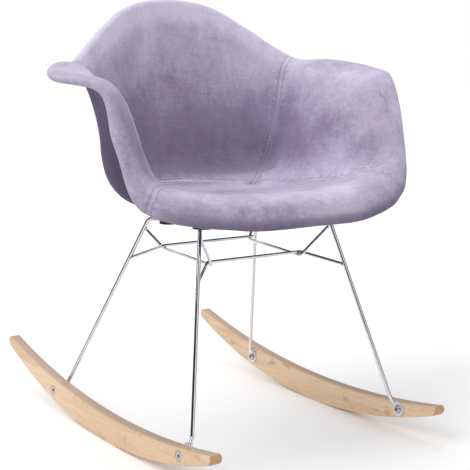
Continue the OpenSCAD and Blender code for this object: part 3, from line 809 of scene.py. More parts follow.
@dataclass(frozen=True)
class TubForm:
    """The form of the padded tub, in a station around it and a place across it.

    A station runs from 0 at the front centre over 10 at the back centre round to 20, and a place runs
    from 0 at the middle of the seat to 1 at the rim, and on round the roll of the rim to roll_end.
    """

    seat_h: float = 381.0
    seat_stack: float = 30.0
    wall_stack: float = 15.0
    wing_stack: float = 12.5
    wing_rim: float = 7.0
    roll_end: float = 1.06
    wing_station: float = 5.2
    wing_width: float = 1.2
    seat_edge: float = 0.35
    edge_width: float = 0.35
    wall_lead: float = 0.07
    pole: tuple[float, float, float] = (0, -50, 0)

    @property
    def middle(self) -> Points:
        """The face's point at the middle of the seat, in metres."""
        return (np.array(self.pole) + (0, 0, self.seat_h)) * MM

    @staticmethod
    def rings() -> list[list[tuple[float, float, float]]]:
        """The five rings of form points, in millimetres over the seat's lowest point."""
        return [
            [(0, -120, 3), (40, -118, 3), (75, -100, 3), (90, -80, 2), (95, -65, 1), (98, -48, 1),
             (94, -28, 0), (80, -8, -1), (55, 5, -2), (28, 12, -3), (0, 14, -3)],
            [(0, -188, 12), (95, -183, 14), (160, -150, 17), (164, -110, 15), (162, -75, 13),
             (163, -40, 11), (164, 0, 7), (146, 41, 5), (105, 64, 0), (56, 72, -4), (0, 74, -5)],
            [(0, -243, 20), (105, -234, 23), (200, -178, 46), (202, -134, 106), (182, -92, 134),
             (168, -45, 134), (168, 2, 131), (160, 46, 128), (115, 78, 146), (59, 96, 161), (0, 102, 166)],
            [(0, -288, 10), (113, -273, 12), (228, -203, 41), (246, -186, 116), (250, -146, 186),
             (234, -60, 204), (206, 4, 211), (182, 52, 197), (120, 90, 236), (65, 110, 267), (0, 119, 275)],
            [(0, -292, -17), (118, -277, -15), (234, -212, 11), (260, -177, 100), (266, -142, 176),
             (302, -60, 192), (263, 5, 207), (200, 54, 210), (131, 94, 258), (76, 115, 290), (0, 124, 301)]]

    def _closed(self) -> Points:
        """The rings closed round both sides, shaped (5, 20, 3), in metres."""
        whole = []
        for ring in self.rings():
            right = [np.array(p, float) for p in ring]
            left = [np.array((-p[0], p[1], p[2]), float) for p in right[1:-1]][::-1]
            whole.append(np.array(right + left) + (0, 0, self.seat_h))
        return np.array(whole) * MM

    @staticmethod
    def _weights(t: Points) -> Points:
        """Weights of a clamped cubic B-spline over six points, shaped (6, ...)."""
        knots = [0, 0, 0, 0, 1 / 3, 2 / 3, 1, 1, 1, 1]
        basis = [((t >= knots[i]) & (t < knots[i + 1])).astype(float) for i in range(9)]
        basis[5] = np.where(t >= 1, 1.0, basis[5])
        for degree in (1, 2, 3):
            new = []
            for i in range(9 - degree):
                low, high = knots[i + degree] - knots[i], knots[i + degree + 1] - knots[i + 1]
                term = np.zeros_like(t)
                if low > 0:
                    term = term + (t - knots[i]) / low * basis[i]
                if high > 0:
                    term = term + (knots[i + degree + 1] - t) / high * basis[i + 1]
                new.append(term)
            basis = new
        return np.array(basis)

    def face(self, s: Points, t: Points) -> Points:
        """Points of the plain face at stations and places."""
        ring = self._closed()
        index = np.floor(s).astype(int)
        a, b, c, d = (ring[:, (index + k) % STATIONS] for k in (-1, 0, 1, 2))
        round_ = curved(a, b, c, d, (s - index)[..., None])
        w = self._weights(t)[..., None]
        return w[0] * self.middle + (w[1:] * round_).sum(0)

    def stack(self, s: Points, t: Points) -> Points:
        """Depth of the whole padding in metres: thick under the sitter, thin at the rims of the two wings."""
        from_front = np.abs(around(s, 0))
        wing = bell(from_front - self.wing_station, self.wing_width)
        wall = self.wall_stack + (self.wing_stack - self.wall_stack) * wing
        rim = wall + (self.wing_rim - self.wing_stack) * wing * eased(t, 0.80, 1.0)
        lead = self.wall_lead * eased(from_front, 3.5, 5.5)
        thin = eased(t - self.seat_edge + lead, 0.0, self.edge_width)
        return (self.seat_stack + (rim - self.seat_stack) * thin) * MM

    def place(self, s: Points, v: Points, depth: Points) -> tuple[Points, Points]:
        """Points at a depth under the face, also round the roll of the rim.

        Args:
            s: Stations.
            v: Places across, up to roll_end.
            depth: Depths under the face, in metres.

        Returns:
            The points, and the directions that look out of the face there.
        """
        t = np.clip(v, 0.004, 1.0)
        e = 1e-3
        base = self.face(s, np.minimum(v, 1.0))
        along = unit(self.face(s, np.minimum(t + e, 1.0)) - self.face(s, t - e))
        round_ = self.face(s + e, t) - self.face(s - e, t)
        away = unit(np.cross(round_, along))
        phi = np.clip((v - 1.0) / (self.roll_end - 1.0), 0, 1)[..., None] * math.pi
        lip = (self.stack(s, np.ones_like(s)) / 2)[..., None]
        reach = lip - depth[..., None]
        flat = phi == 0
        points = np.where(flat, base + away * depth[..., None],
                          base + away * (lip - reach * np.cos(phi)) + along * reach * np.sin(phi))
        out = -away * np.cos(phi) + along * np.sin(phi)
        return points, out

    def back(self, s: Points, t: Points, depth: float) -> Points:
        """Points at a depth in metres inside the back of the padding."""
        return self.place(s, t, self.stack(s, t) - depth)[0]


@dataclass(frozen=True)
class Seams:
    """The sewn lines of the velvet, as stations and places.

    The arms' seams and the gathers are given for the right half, and mirrored makes the left ones.
    The crease between seat and back crosses the middle. The mesh's columns at the stations corner and
    rear are bent onto the arms' seams, and rise is the place where the front one turns up the arm. The
    left seams meet higher than the right ones, by inner_lift.
    """

    arm_seat: Line = (
        (7.05, 0.165), (6.3, 0.16), (5.5, 0.165), (4.5, 0.19), (3.5, 0.23), (2.7, 0.28), (2.25, 0.33),
        (2.05, 0.40), (1.95, 0.47), (1.85, 0.58), (1.78, 0.70), (1.76, 0.82), (1.76, 0.92), (1.82, 1.0),
        (1.84, 1.06))
    arm_back: Line = (
        (7.05, 0.165), (7.15, 0.25), (7.05, 0.43), (6.95, 0.55), (6.9, 0.67), (6.95, 0.80), (7.0, 0.92),
        (7.0, 1.0), (7.0, 1.06))
    crease: Line = (
        (7.05, 0.165), (8.0, 0.175), (9.0, 0.195), (10.0, 0.217), (11.0, 0.236), (12.0, 0.235), (12.95, 0.20))
    gathers: tuple[Line, ...] = (
        ((2.35, 0.43), (2.24, 0.47), (2.10, 0.54), (2.0, 0.64), (2.03, 0.70), (2.12, 0.75)),
        ((2.2, 0.42), (2.08, 0.50), (1.97, 0.58), (1.93, 0.66)),
        ((3.85, 0.83), (3.6, 0.85), (3.4, 0.87)), ((3.7, 0.87), (3.5, 0.885)))
    corner: float = 1.9
    rear: float = 7.1
    rise: float = 0.33
    inner_lift: float = 0.035

    @staticmethod
    def fine(line: Line, count: int) -> Points:
        """A smooth line of count pairs through the pairs given."""
        knots = np.array(line, float)
        x = np.linspace(0, len(knots) - 1, count)
        i = np.clip(np.floor(x).astype(int), 0, len(knots) - 2)
        a, b, c, d = (knots[np.clip(i + k, 0, len(knots) - 1)] for k in (-1, 0, 1, 2))
        return curved(a, b, c, d, (x - i)[:, None])

    @staticmethod
    def _front_shift(v: Points) -> Points:
        """How many stations nearer the arm the left front seam sits than the right one."""
        return 0.15 * eased(v, 0.60, 0.90)

    @staticmethod
    def _rear_shift(v: Points) -> Points:
        """How many stations nearer the arm the left rear seam sits than the right one."""
        return 0.3 * eased(v, 0.20, 0.40)

    def mirrored(self, line: Points) -> Points:
        """The same line on the left half, where both arm seams sit a little nearer the arm."""
        s, v = line[:, 0], line[:, 1]
        front, rear = self._front_shift(v) * (s < 4), self._rear_shift(v) * (s > 6)
        low = self.inner_lift * bell(s - self.arm_seat[0][0], 1.0) * (1 - eased(v, 0.20, 0.35))
        return np.stack([STATIONS - s - front + rear, v + low], 1)

    def corner_station(self, v: Points, left: bool) -> Points:
        """Station of an arm's front seam at places, counted from the front."""
        rise = [p for p in self.arm_seat if p[1] >= self.rise]
        station = np.interp(v, [p[1] for p in rise], [p[0] for p in rise])
        return station + self._front_shift(v) if left else station

    def back_station(self, v: Points, left: bool) -> Points:
        """Station of an arm's rear seam at places, counted from the front."""
        station = np.interp(v, [p[1] for p in self.arm_back], [p[0] for p in self.arm_back])
        return station - self._rear_shift(v) if left else station

    def crease_place(self, s: Points) -> Points:
        """Place of the seam round the seat at stations."""
        right = [p for p in self.arm_seat if p[1] <= self.rise]
        left = [(STATIONS - x, y) for x, y in right[1:]]
        low = right[::-1] + list(self.crease[1:]) + left
        return np.interp(s, [p[0] for p in low], [p[1] for p in low])


@dataclass
class VelvetCover:
    """The sewn velvet cover of seat, back and arms, drawn over the foam.

    Lengths are in metres. Each ridge of a relief or a shade is a distance from the seam, a width, and
    how high it stands or how much lighter it is; the shades are painted shade in seams, creases, folds
    and corners and painted highlight on the ridges beside them. A brushed mark is a station, a place,
    its half widths along both, and how much darker it is: partly brushed nap and partly painted shade,
    and painted light where it is lighter. A fold is its distance from the crease and its size. No
    stitches are sewn on the first points of a seam, as many as unstitched says.
    """

    form: TubForm
    seams: Seams
    thickness: float = 2.0 * MM
    columns: int = 440
    rows: int = 140
    roll_rows: int = 15
    crease_row: float = 0.25
    row_reach: float = 0.245
    row_share: float = 0.9
    corner_reach: float = 0.9
    rear_reach: float = 1.2
    stitch_offset: float = 3.9 * MM
    stitch_step: float = 4.0 * MM
    stitch_length: float = 3.3 * MM
    stitch_rise: float = 0.15 * MM
    thread_d: float = 1.0 * MM
    unstitched: int = 12
    seam_relief: Ridges = ((0.0, 1.2 * MM, -0.5 * MM), (0.0, 9.0 * MM, -0.5 * MM),
                           (stitch_offset, 0.9 * MM, -1.0 * MM))
    # Painted highlight beside each seam, and painted shade in its groove and along the rows of stitching.
    seam_shade: Ridges = ((0.0, 3.2 * MM, 0.10), (0.0, 0.8 * MM, -0.14), (stitch_offset, 0.8 * MM, -0.36))
    pucker_offset: float = 7.5 * MM
    pucker_width: float = 3.5 * MM
    pucker_step: float = 13.0 * MM
    pucker_height: float = 0.28 * MM
    # Painted light and shade on the pucker's ripples.
    pucker_shade: float = 0.06
    crease_relief: Ridges = ((0.0, 1.5 * MM, -1.9 * MM),)
    # Painted shade in the crease between seat and back.
    crease_shade: Ridges = ((0.0, 1.3 * MM, -0.32),)
    # Painted shade in the corners at both ends of the crease.
    corner_shade: float = 0.36
    corner_width: float = 17.0 * MM
    corner_rise: float = 7.0 * MM
    fold_relief: Ridges = ((-2.3 * MM, 1.7 * MM, 1.7 * MM), (0.0, 1.2 * MM, -1.53 * MM))
    # Painted highlight on the folds' ridges and painted shade in their valleys.
    fold_shade: Ridges = ((-2.3 * MM, 1.7 * MM, 0.34), (0.0, 1.2 * MM, -0.40))
    fold_drift: float = 0.9 * MM
    gather_relief: Ridges = ((3.0 * MM, 1.6 * MM, 0.96 * MM), (0.0, 1.3 * MM, -1.2 * MM))
    # Painted highlight on the gathers' ridges and painted shade in their valleys.
    gather_shade: Ridges = ((3.0 * MM, 1.6 * MM, 0.14), (0.0, 1.1 * MM, -0.40))
    small_gather: float = 0.6
    # Brushed marks are partly brushed nap and partly painted shade on the back, arms and rolls; a negative
    # depth paints light.
    brushed: tuple[tuple[float, float, float, float, float], ...] = (
        (8.8, 0.45, 2.6, 0.19, 0.52), (11.9, 0.42, 1.1, 0.20, 0.35), (9.2, 0.68, 2.4, 0.10, 0.06),
        (11.6, 0.79, 0.6, 0.10, 0.16), (6.9, 0.50, 0.5, 0.14, 0.22), (6.4, 0.68, 0.5, 0.10, 0.20),
        (5.5, 0.53, 0.9, 0.13, 0.21), (4.7, 0.42, 0.9, 0.08, 0.10), (4.1, 0.60, 0.6, 0.09, 0.24),
        (2.6, 0.68, 0.4, 0.14, 0.20), (2.9, 0.55, 0.5, 0.10, 0.08), (5.2, 0.84, 0.9, 0.07, -0.14),
        (16.4, 0.84, 0.5, 0.13, 0.12), (16.9, 0.80, 0.5, 0.16, 0.32), (17.5, 0.68, 0.6, 0.14, 0.34),
        (1.1, 1.02, 0.9, 0.07, 0.30), (17.2, 0.97, 0.6, 0.06, 0.10), (7.6, 0.45, 0.5, 0.14, 0.12),
        (3.1, 0.86, 0.7, 0.08, 0.11), (2.4, 0.80, 0.4, 0.08, -0.12), (0.9, 0.84, 0.6, 0.08, 0.12),
        (19.6, 0.98, 0.5, 0.05, -0.08), (14.9, 0.88, 0.6, 0.07, -0.15), (19.2, 0.88, 1.1, 0.06, 0.10))
    folds: tuple[tuple[float, float], ...] = (
        (4.6 * MM, 0.9), (9.2 * MM, 1.0), (13.6 * MM, 0.85), (18.0 * MM, 0.4))
    lift: float = 0.9 * MM
    deepest: float = 1.3 * MM
    plain_nap: float = 0.77
    middle_nap: float = 0.6
    inner_nap: float = 0.4

    def _columns(self) -> Points:
        """Stations of the mesh's columns, closer together along the arms' seams."""
        corner, rear = self.seams.corner, self.seams.rear
        middles = (corner, rear, STATIONS - rear, STATIONS - corner)
        return graded(0, STATIONS, self.columns + 1, [(c, 0.11, 4.0) for c in middles])[:-1]

    def _grid(self) -> tuple[Points, Points]:
        """Stations and places of the mesh, with its rows closer together at the crease and the rim."""
        face = graded(0.006, 1.0, self.rows, [(0.265, 0.045, 3.6), (1.0, 0.03, 3.0)])
        roll = np.linspace(1.0, self.form.roll_end, self.roll_rows + 1)[1:]
        return self._warped(*np.meshgrid(self._columns(), np.concatenate([face, roll])))

    def _warped(self, s: Points, v: Points) -> tuple[Points, Points]:
        """Bends rows and columns of a grid along the seams."""
        seams, row = self.seams, self.crease_row
        bent = v + (seams.crease_place(s) - row) * self.row_share * hump((v - row) / self.row_reach)
        v = np.where(v < 0.5, bent, v)
        fade = np.clip((v - 0.2) / 0.15, 0, 1)
        for left in (False, True):
            near = STATIONS - s if left else s
            corner, rear = near - seams.corner, near - seams.rear
            shift = (seams.corner_station(v, left) - seams.corner) * hump(corner / self.corner_reach)
            shift = shift + (seams.back_station(v, left) - seams.rear) * hump(rear / self.rear_reach)
            s = s - shift * fade if left else s + shift * fade
        return s, v

    def _lines(self) -> dict[str, list[Points]]:
        """The seams on both halves, as fine lines of stations and places."""
        fine, mirrored = self.seams.fine, self.seams.mirrored
        arm, back = fine(self.seams.arm_seat, 500), fine(self.seams.arm_back, 400)
        gathers = [fine(g, 60) for g in self.seams.gathers]
        return {"sewn": [arm, mirrored(arm), back, mirrored(back)],
                "crease": [fine(self.seams.crease, 300)],
                "gathers": [line for g in gathers for line in (g, mirrored(g))]}

    def _on_face(self, line: Points) -> Points:
        """Points on the plain face along a line of stations and places."""
        return self.form.place(line[:, 0], line[:, 1], np.zeros(len(line)))[0]

    @staticmethod
    def _distance(points: Points, line: Points, reach: float) -> tuple[Points, Points, Points]:
        """How far points lie from a line of points.

        Args:
            points: Points, shaped (n, 3).
            line: The line, shaped (m, 3).
            reach: Distance past which points don't matter.

        Returns:
            The distances, how far along the line the nearest points lie in metres, and as a share of it.
        """
        run = np.concatenate([[0.0], np.cumsum(np.linalg.norm(np.diff(line, axis=0), axis=1))])
        distance = np.full(len(points), 1.0)
        where = np.zeros(len(points))
        near = np.all((points > line.min(0) - reach) & (points < line.max(0) + reach), axis=1)
        index = np.nonzero(near)[0]
        for start in range(0, len(index), 4000):
            some = index[start:start + 4000]
            gap = np.linalg.norm(points[some, None, :] - line[None], axis=2)
            best = gap.argmin(1)
            distance[some] = gap[np.arange(len(some)), best]
            where[some] = run[best]
        return distance, where, where / run[-1]

    def _seam(self, points: Points, line: Points, seed: int) -> tuple[Points, Points]:
        """Height and shade of a sewn seam, its two rows of stitching and the pucker beside them."""
        d, run, _ = self._distance(points, self._on_face(line), 0.03)
        ripple = np.sin(run * 2 * math.pi / self.pucker_step + waves(points, 0.03, seed))
        pucker = ripple * bell(d - self.pucker_offset, self.pucker_width)
        return (relief(d, self.seam_relief) + self.pucker_height * pucker,
                relief(d, self.seam_shade) + self.pucker_shade * pucker)

    def _crease(self, points: Points, line: Points, over: Points) -> tuple[Points, Points]:
        """Height and shade of the crease between seat and back, and of the folds above it.

        Args:
            points: Points on the plain face.
            line: Stations and places of the crease.
            over: Which points lie above it.

        Returns:
            The heights in metres and the shades.
        """
        track = self._on_face(line)
        d, _, share = self._distance(points, track, 0.04)
        above = np.where(over, d, -d)
        ends = hump((share - 0.5) / 0.56) ** 0.4
        height = relief(above, self.crease_relief) * ends
        shade = relief(above, self.crease_shade) * ends
        # Painted shade in the corners at both ends of the crease.
        for end in (track[0], track[-1]):
            away = np.linalg.norm(points - end - (0, 0, self.corner_rise), axis=1)
            shade -= self.corner_shade * bell(away, self.corner_width)
        for number, (middle, size) in enumerate(self.folds):
            drift = middle + self.fold_drift * waves(points, 0.09, 21 + number, 6)
            weight = size * ends * (0.8 + 0.35 * waves(points, 0.07, 31 + number, 5)).clip(0.45, 1.3)
            height += weight * relief(above - drift, self.fold_relief)
            shade += weight * relief(above - drift, self.fold_shade)
        return height, shade

    def _gather(self, points: Points, line: Points, size: float) -> tuple[Points, Points]:
        """Height and shade of a gather of a size, which fades out at both ends."""
        d, _, share = self._distance(points, self._on_face(line), 0.02)
        size = size * hump((share - 0.5) / 0.55)
        return size * relief(d, self.gather_relief), size * relief(d, self.gather_shade)

    def swell(self, s: Points, v: Points) -> tuple[Points, Points]:
        """How far the velvet stands over the plain face, and the painted shade and highlight of its folds and
        seams.

        Args:
            s: Stations.
            v: Places.

        Returns:
            The heights in metres, with soft unevenness, seams, crease, folds and gathers, and the painted
            shades.
        """
        shape = s.shape
        s, v = s.ravel(), v.ravel()
        points = self.form.place(s, v, np.zeros_like(s))[0]
        lines = self._lines()
        above = v > self.seams.crease_place(s)
        parts = [self._seam(points, line, 11 + k) for k, line in enumerate(lines["sewn"])]
        parts += [self._crease(points, line, above) for line in lines["crease"]]
        parts += [self._gather(points, line, 1.0 if k < 2 else self.small_gather)
                  for k, line in enumerate(lines["gathers"])]
        height = 0.5 * MM * waves(points, 0.11, 3) + 0.22 * MM * waves(points, 0.04, 5) + self.lift
        height += sum(part for part, _ in parts)
        height = np.where(height < 0, -self.deepest * np.tanh(-height / self.deepest), height)
        return height.reshape(shape), sum(shade for _, shade in parts).reshape(shape)

    def nap(self, s: Points, v: Points, points: Points) -> Points:
        """How light the nap lies, from 0 to 1, at stations and places, with painted shade and painted
        highlight on the lip, seat and back.
        """
        nap = self.plain_nap + 0.05 * waves(points, 0.16, 41)
        # The brushed marks darken the nap: brushed nap and painted shade.
        for station, place, wide, high, depth in self.brushed:
            nap -= depth * bell(around(s, station), wide) * bell(v - place, high) * eased(v, 0.24, 0.33)
        # Painted shade on the lower left of the front lip, where it curves under.
        lip_left_shade = bell(around(s, -1.1), 1.05, 4) * eased(v, 0.84, 1.0)
        # Painted highlight along the crown of the front lip.
        lip_crown_highlight = bell(around(s, 0), 2.0, 4) * bell(v - 0.58, 0.14)
        # Painted shade along the lower edge of the front lip, where it turns under.
        lip_foot_shade = bell(around(s, 0.3), 2.0, 8) * eased(v, 0.95, 1.03)
        # Painted light on the strip of seat just in front of the crease.
        seat_rear_light = bell(around(s, 10), 5.5, 8) * bell(v - 0.12, 0.08, 4)
        # Painted highlight along the top edge of the back.
        back_top_highlight = bell(around(s, 10), 3.6, 6) * eased(v, 0.86, 0.97)
        nap += 0.09 * lip_crown_highlight + 0.20 * seat_rear_light + 0.23 * back_top_highlight - 0.27 * lip_left_shade - 0.45 * lip_foot_shade
        return np.clip(nap, 0, 1)

    def build(self) -> bpy.types.Object:
        """Builds and dresses the cover."""
        s, v = self._grid()
        height, shade = self.swell(s, v)
        outer = self.form.place(s, v, -height)[0]
        under = np.concatenate([np.linspace(self.form.roll_end, 1.0, 6), np.linspace(0.94, 0.02, 17)])
        inner_s, inner_v = self._warped(*np.meshgrid(self._columns(), under))
        inner = self.form.place(inner_s, inner_v, np.full(inner_s.shape, self.thickness))[0]
        top = self.form.middle
        rows = np.concatenate([outer, inner])
        cover = rings_object("velvet_cover", rows, top, top - (0, 0, self.thickness))
        # Nap with painted shade and highlight from the lip, seat and back, and from the seams, crease and
        # folds.
        nap = np.clip(self.nap(s, v, outer) + shade, 0, 1).ravel()
        hidden = np.full(inner_s.size + 1, self.inner_nap)
        store(cover, "nap", np.concatenate([[self.middle_nap], nap, hidden]))
        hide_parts("seat_cover", "back_cover", "left_arm_cover", "right_arm_cover")
        return dress(cover, VELVET.material())

    def stitches(self) -> bpy.types.Object:
        """Lays the two rows of stitches beside each sewn seam."""
        rows = [self._beside(line[self.unstitched:], way * self.stitch_offset)
                for line in self._lines()["sewn"] for way in (-1, 1)]
        source, thread = lines_object("stitch_lines", rows), THREAD.material()
        piece = stitch_tree().run(source, "stitches", {
            "Spacing": self.stitch_step, "Stitch Length": self.stitch_length,
            "Thread Diameter": self.thread_d, "Material": thread, "Seed": 7})
        return dress(piece, thread)

    def _beside(self, line: Points, offset: float) -> Points:
        """A line on the velvet that runs at a distance beside a seam.

        The distance becomes steps of station and place, by least squares.

        Args:
            line: Stations and places of the seam.
            offset: Distance from the seam, in metres, to its right or left.

        Returns:
            Points on the velvet.
        """
        s, v = line[:, 0], line[:, 1]
        zero = np.zeros(len(line))
        e = 1e-3
        here, out = self.form.place(s, v, zero)
        by_s = (self.form.place(s + e, v, zero)[0] - self.form.place(s - e, v, zero)[0]) / (2 * e)
        by_v = (self.form.place(s, v + e, zero)[0] - self.form.place(s, v - e, zero)[0]) / (2 * e)
        sideways = unit(np.cross(out, np.gradient(here, axis=0))) * offset
        a, b, c = (by_s * by_s).sum(1), (by_s * by_v).sum(1), (by_v * by_v).sum(1)
        p, q = (by_s * sideways).sum(1), (by_v * sideways).sum(1)
        det = a * c - b * b
        s2, v2 = s + (c * p - b * q) / det, v + (a * q - b * p) / det
        v2 = np.minimum(v2, self.form.roll_end - 0.004)
        return self.form.place(s2, v2, -self.swell(s2, v2)[0] - self.stitch_rise)[0]


@dataclass
class TubBack:
    """The outer cover on the back of the tub, its welt, and what is hidden between it and the velvet."""

    form: TubForm
    cover_t: float = 2.0 * MM
    shell_t: float = 3.0 * MM
    welt_d: float = 3.0 * MM
    welt_sunk: float = 0.5 * MM
    welt_steps: int = 400
    boss_d: float = 36.2 * MM
    cutter_h: float = 30.0 * MM
    cutter_z: float = 355.0 * MM
    columns: int = 320
    rows: int = 72

    def _stations(self, count: int) -> Points:
        """Evenly spaced stations, once round the tub."""
        return np.linspace(0, STATIONS, count + 1)[:-1]

    def outer_cover(self) -> bpy.types.Object:
        """Builds the outer cover, with holes for the four bosses."""
        s = self._stations(self.columns)
        inner_s, inner_v = np.meshgrid(s, np.linspace(0.02, 1.0, 20))
        outer_s, outer_v = np.meshgrid(s, np.linspace(1.0, 0.012, self.rows))
        inner = self.form.back(inner_s, inner_v, self.cover_t)
        outer = self.form.back(outer_s, outer_v, 0.0)
        soft = 0.35 * MM * waves(outer, 0.10, 51) + 0.15 * MM * waves(outer, 0.035, 52)
        outer = outer + self._lift(outer_s, outer_v, soft * np.clip((1.0 - outer_v) / 0.05, 0, 1))
        pole, deep = self.form.middle, self.form.seat_stack * MM
        cover = rings_object("outer_cover_velvet", np.concatenate([inner, outer]),
                             pole - (0, 0, deep - self.cover_t), pole - (0, 0, deep))
        bosses = [self._boss(side.value * x * MM, y * MM)
                  for x, y, _ in (FRONT_MOUNT, REAR_MOUNT) for side in (Side.RIGHT, Side.LEFT)]
        cover = crisp(cut(cover, bosses, "outer_cover_velvet"), 50)
        points = np.array([vertex.co for vertex in cover.data.vertices])
        # Darker towards the bottom and lighter towards the top, with random blotches.
        nap = 0.45 + 0.16 * waves(points, 0.14, 55) + 0.5 * (points[:, 2] - 0.47)
        store(cover, "nap", np.clip(nap, 0, 1))
        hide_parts("outer_cover")
        return dress(cover, OUTER_VELVET.material())

    def _lift(self, s: Points, v: Points, height: Points) -> Points:
        """Moves of points outwards from the back by heights."""
        e = 1e-4
        out = unit(self.form.back(s, v, -e) - self.form.back(s, v, e))
        return out * height[..., None]

    def _boss(self, x: float, y: float) -> bpy.types.Object:
        """A round cutter for the boss at a place."""
        mesh = bmesh.new()
        radius = self.boss_d / 2
        bmesh.ops.create_cone(mesh, cap_ends=True, segments=48, radius1=radius, radius2=radius,
                              depth=self.cutter_h, matrix=Matrix.Translation((x, y, self.cutter_z)))
        data = bpy.data.meshes.new("boss_cutter")
        mesh.to_mesh(data)
        mesh.free()
        return linked("boss_cutter", data)

    def welt(self, rods: Tree) -> bpy.types.Object:
        """Runs the welt round the hem."""
        s = self._stations(self.welt_steps)
        centre = self.form.back(s, np.ones_like(s), self.welt_sunk - self.welt_d / 2)
        source, cloth = lines_object("welt_line", [centre], closed=True), WELT_VELVET.material()
        piece = rods.run(source, "hem_welt_cord", {"Diameter": self.welt_d, "Sides": 12,
                                                   "Material": cloth, "Seed": 1})
        store(piece, "nap", np.full(len(piece.data.vertices), 0.85))
        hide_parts("hem_welt")
        return dress(piece, cloth)

    def _layer(self, name: str, front: Callable[[Points, Points], Points],
               back: Callable[[Points, Points], Points]) -> bpy.types.Object:
        """A closed layer of the padding.

        Args:
            name: Name of the object.
            front: Depth of its front under the velvet's face at stations and places, in metres.
            back: Depth of its back there, in metres.

        Returns:
            The new object.
        """
        s = self._stations(self.columns)
        front_s, front_v = np.meshgrid(s, np.linspace(0.02, 1.0, self.rows))
        back_s, back_v = np.meshgrid(s, np.linspace(1.0, 0.02, self.rows))
        rows = np.concatenate([self.form.place(front_s, front_v, front(front_s, front_v))[0],
                               self.form.place(back_s, back_v, back(back_s, back_v))[0]])
        middle, zero = self.form.middle, np.zeros(1)
        first, last = (middle - (0, 0, depth(zero, zero)[0]) for depth in (front, back))
        return rings_object(name, rows, first, last)

    def _under_velvet(self, s: Points, t: Points) -> Points:
        """Depth of the foam's front at stations and places."""
        return np.full(t.shape, self.cover_t)

    def _behind_foam(self, s: Points, t: Points) -> Points:
        """Depth of the moulded tub's front at stations and places."""
        return self.form.stack(s, t) - self.cover_t - self.shell_t

    def _behind_tub(self, s: Points, t: Points) -> Points:
        """Depth of the moulded tub's back at stations and places."""
        return self.form.stack(s, t) - self.cover_t

    def hidden(self) -> list[bpy.types.Object]:
        """Builds the foam and the moulded tub behind it, and dresses the bosses."""
        foam = self._layer("foam_pad", self._under_velvet, self._behind_foam)
        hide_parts("foam_lining")
        tub = self._layer("moulded_tub", self._behind_foam, self._behind_tub)
        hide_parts("tub_shell")
        plastic = TUB_PLASTIC.material()
        paint("mount_bosses", plastic)
        return [dress(foam, FOAM.material()), dress(tub, plastic)]


# The wire base


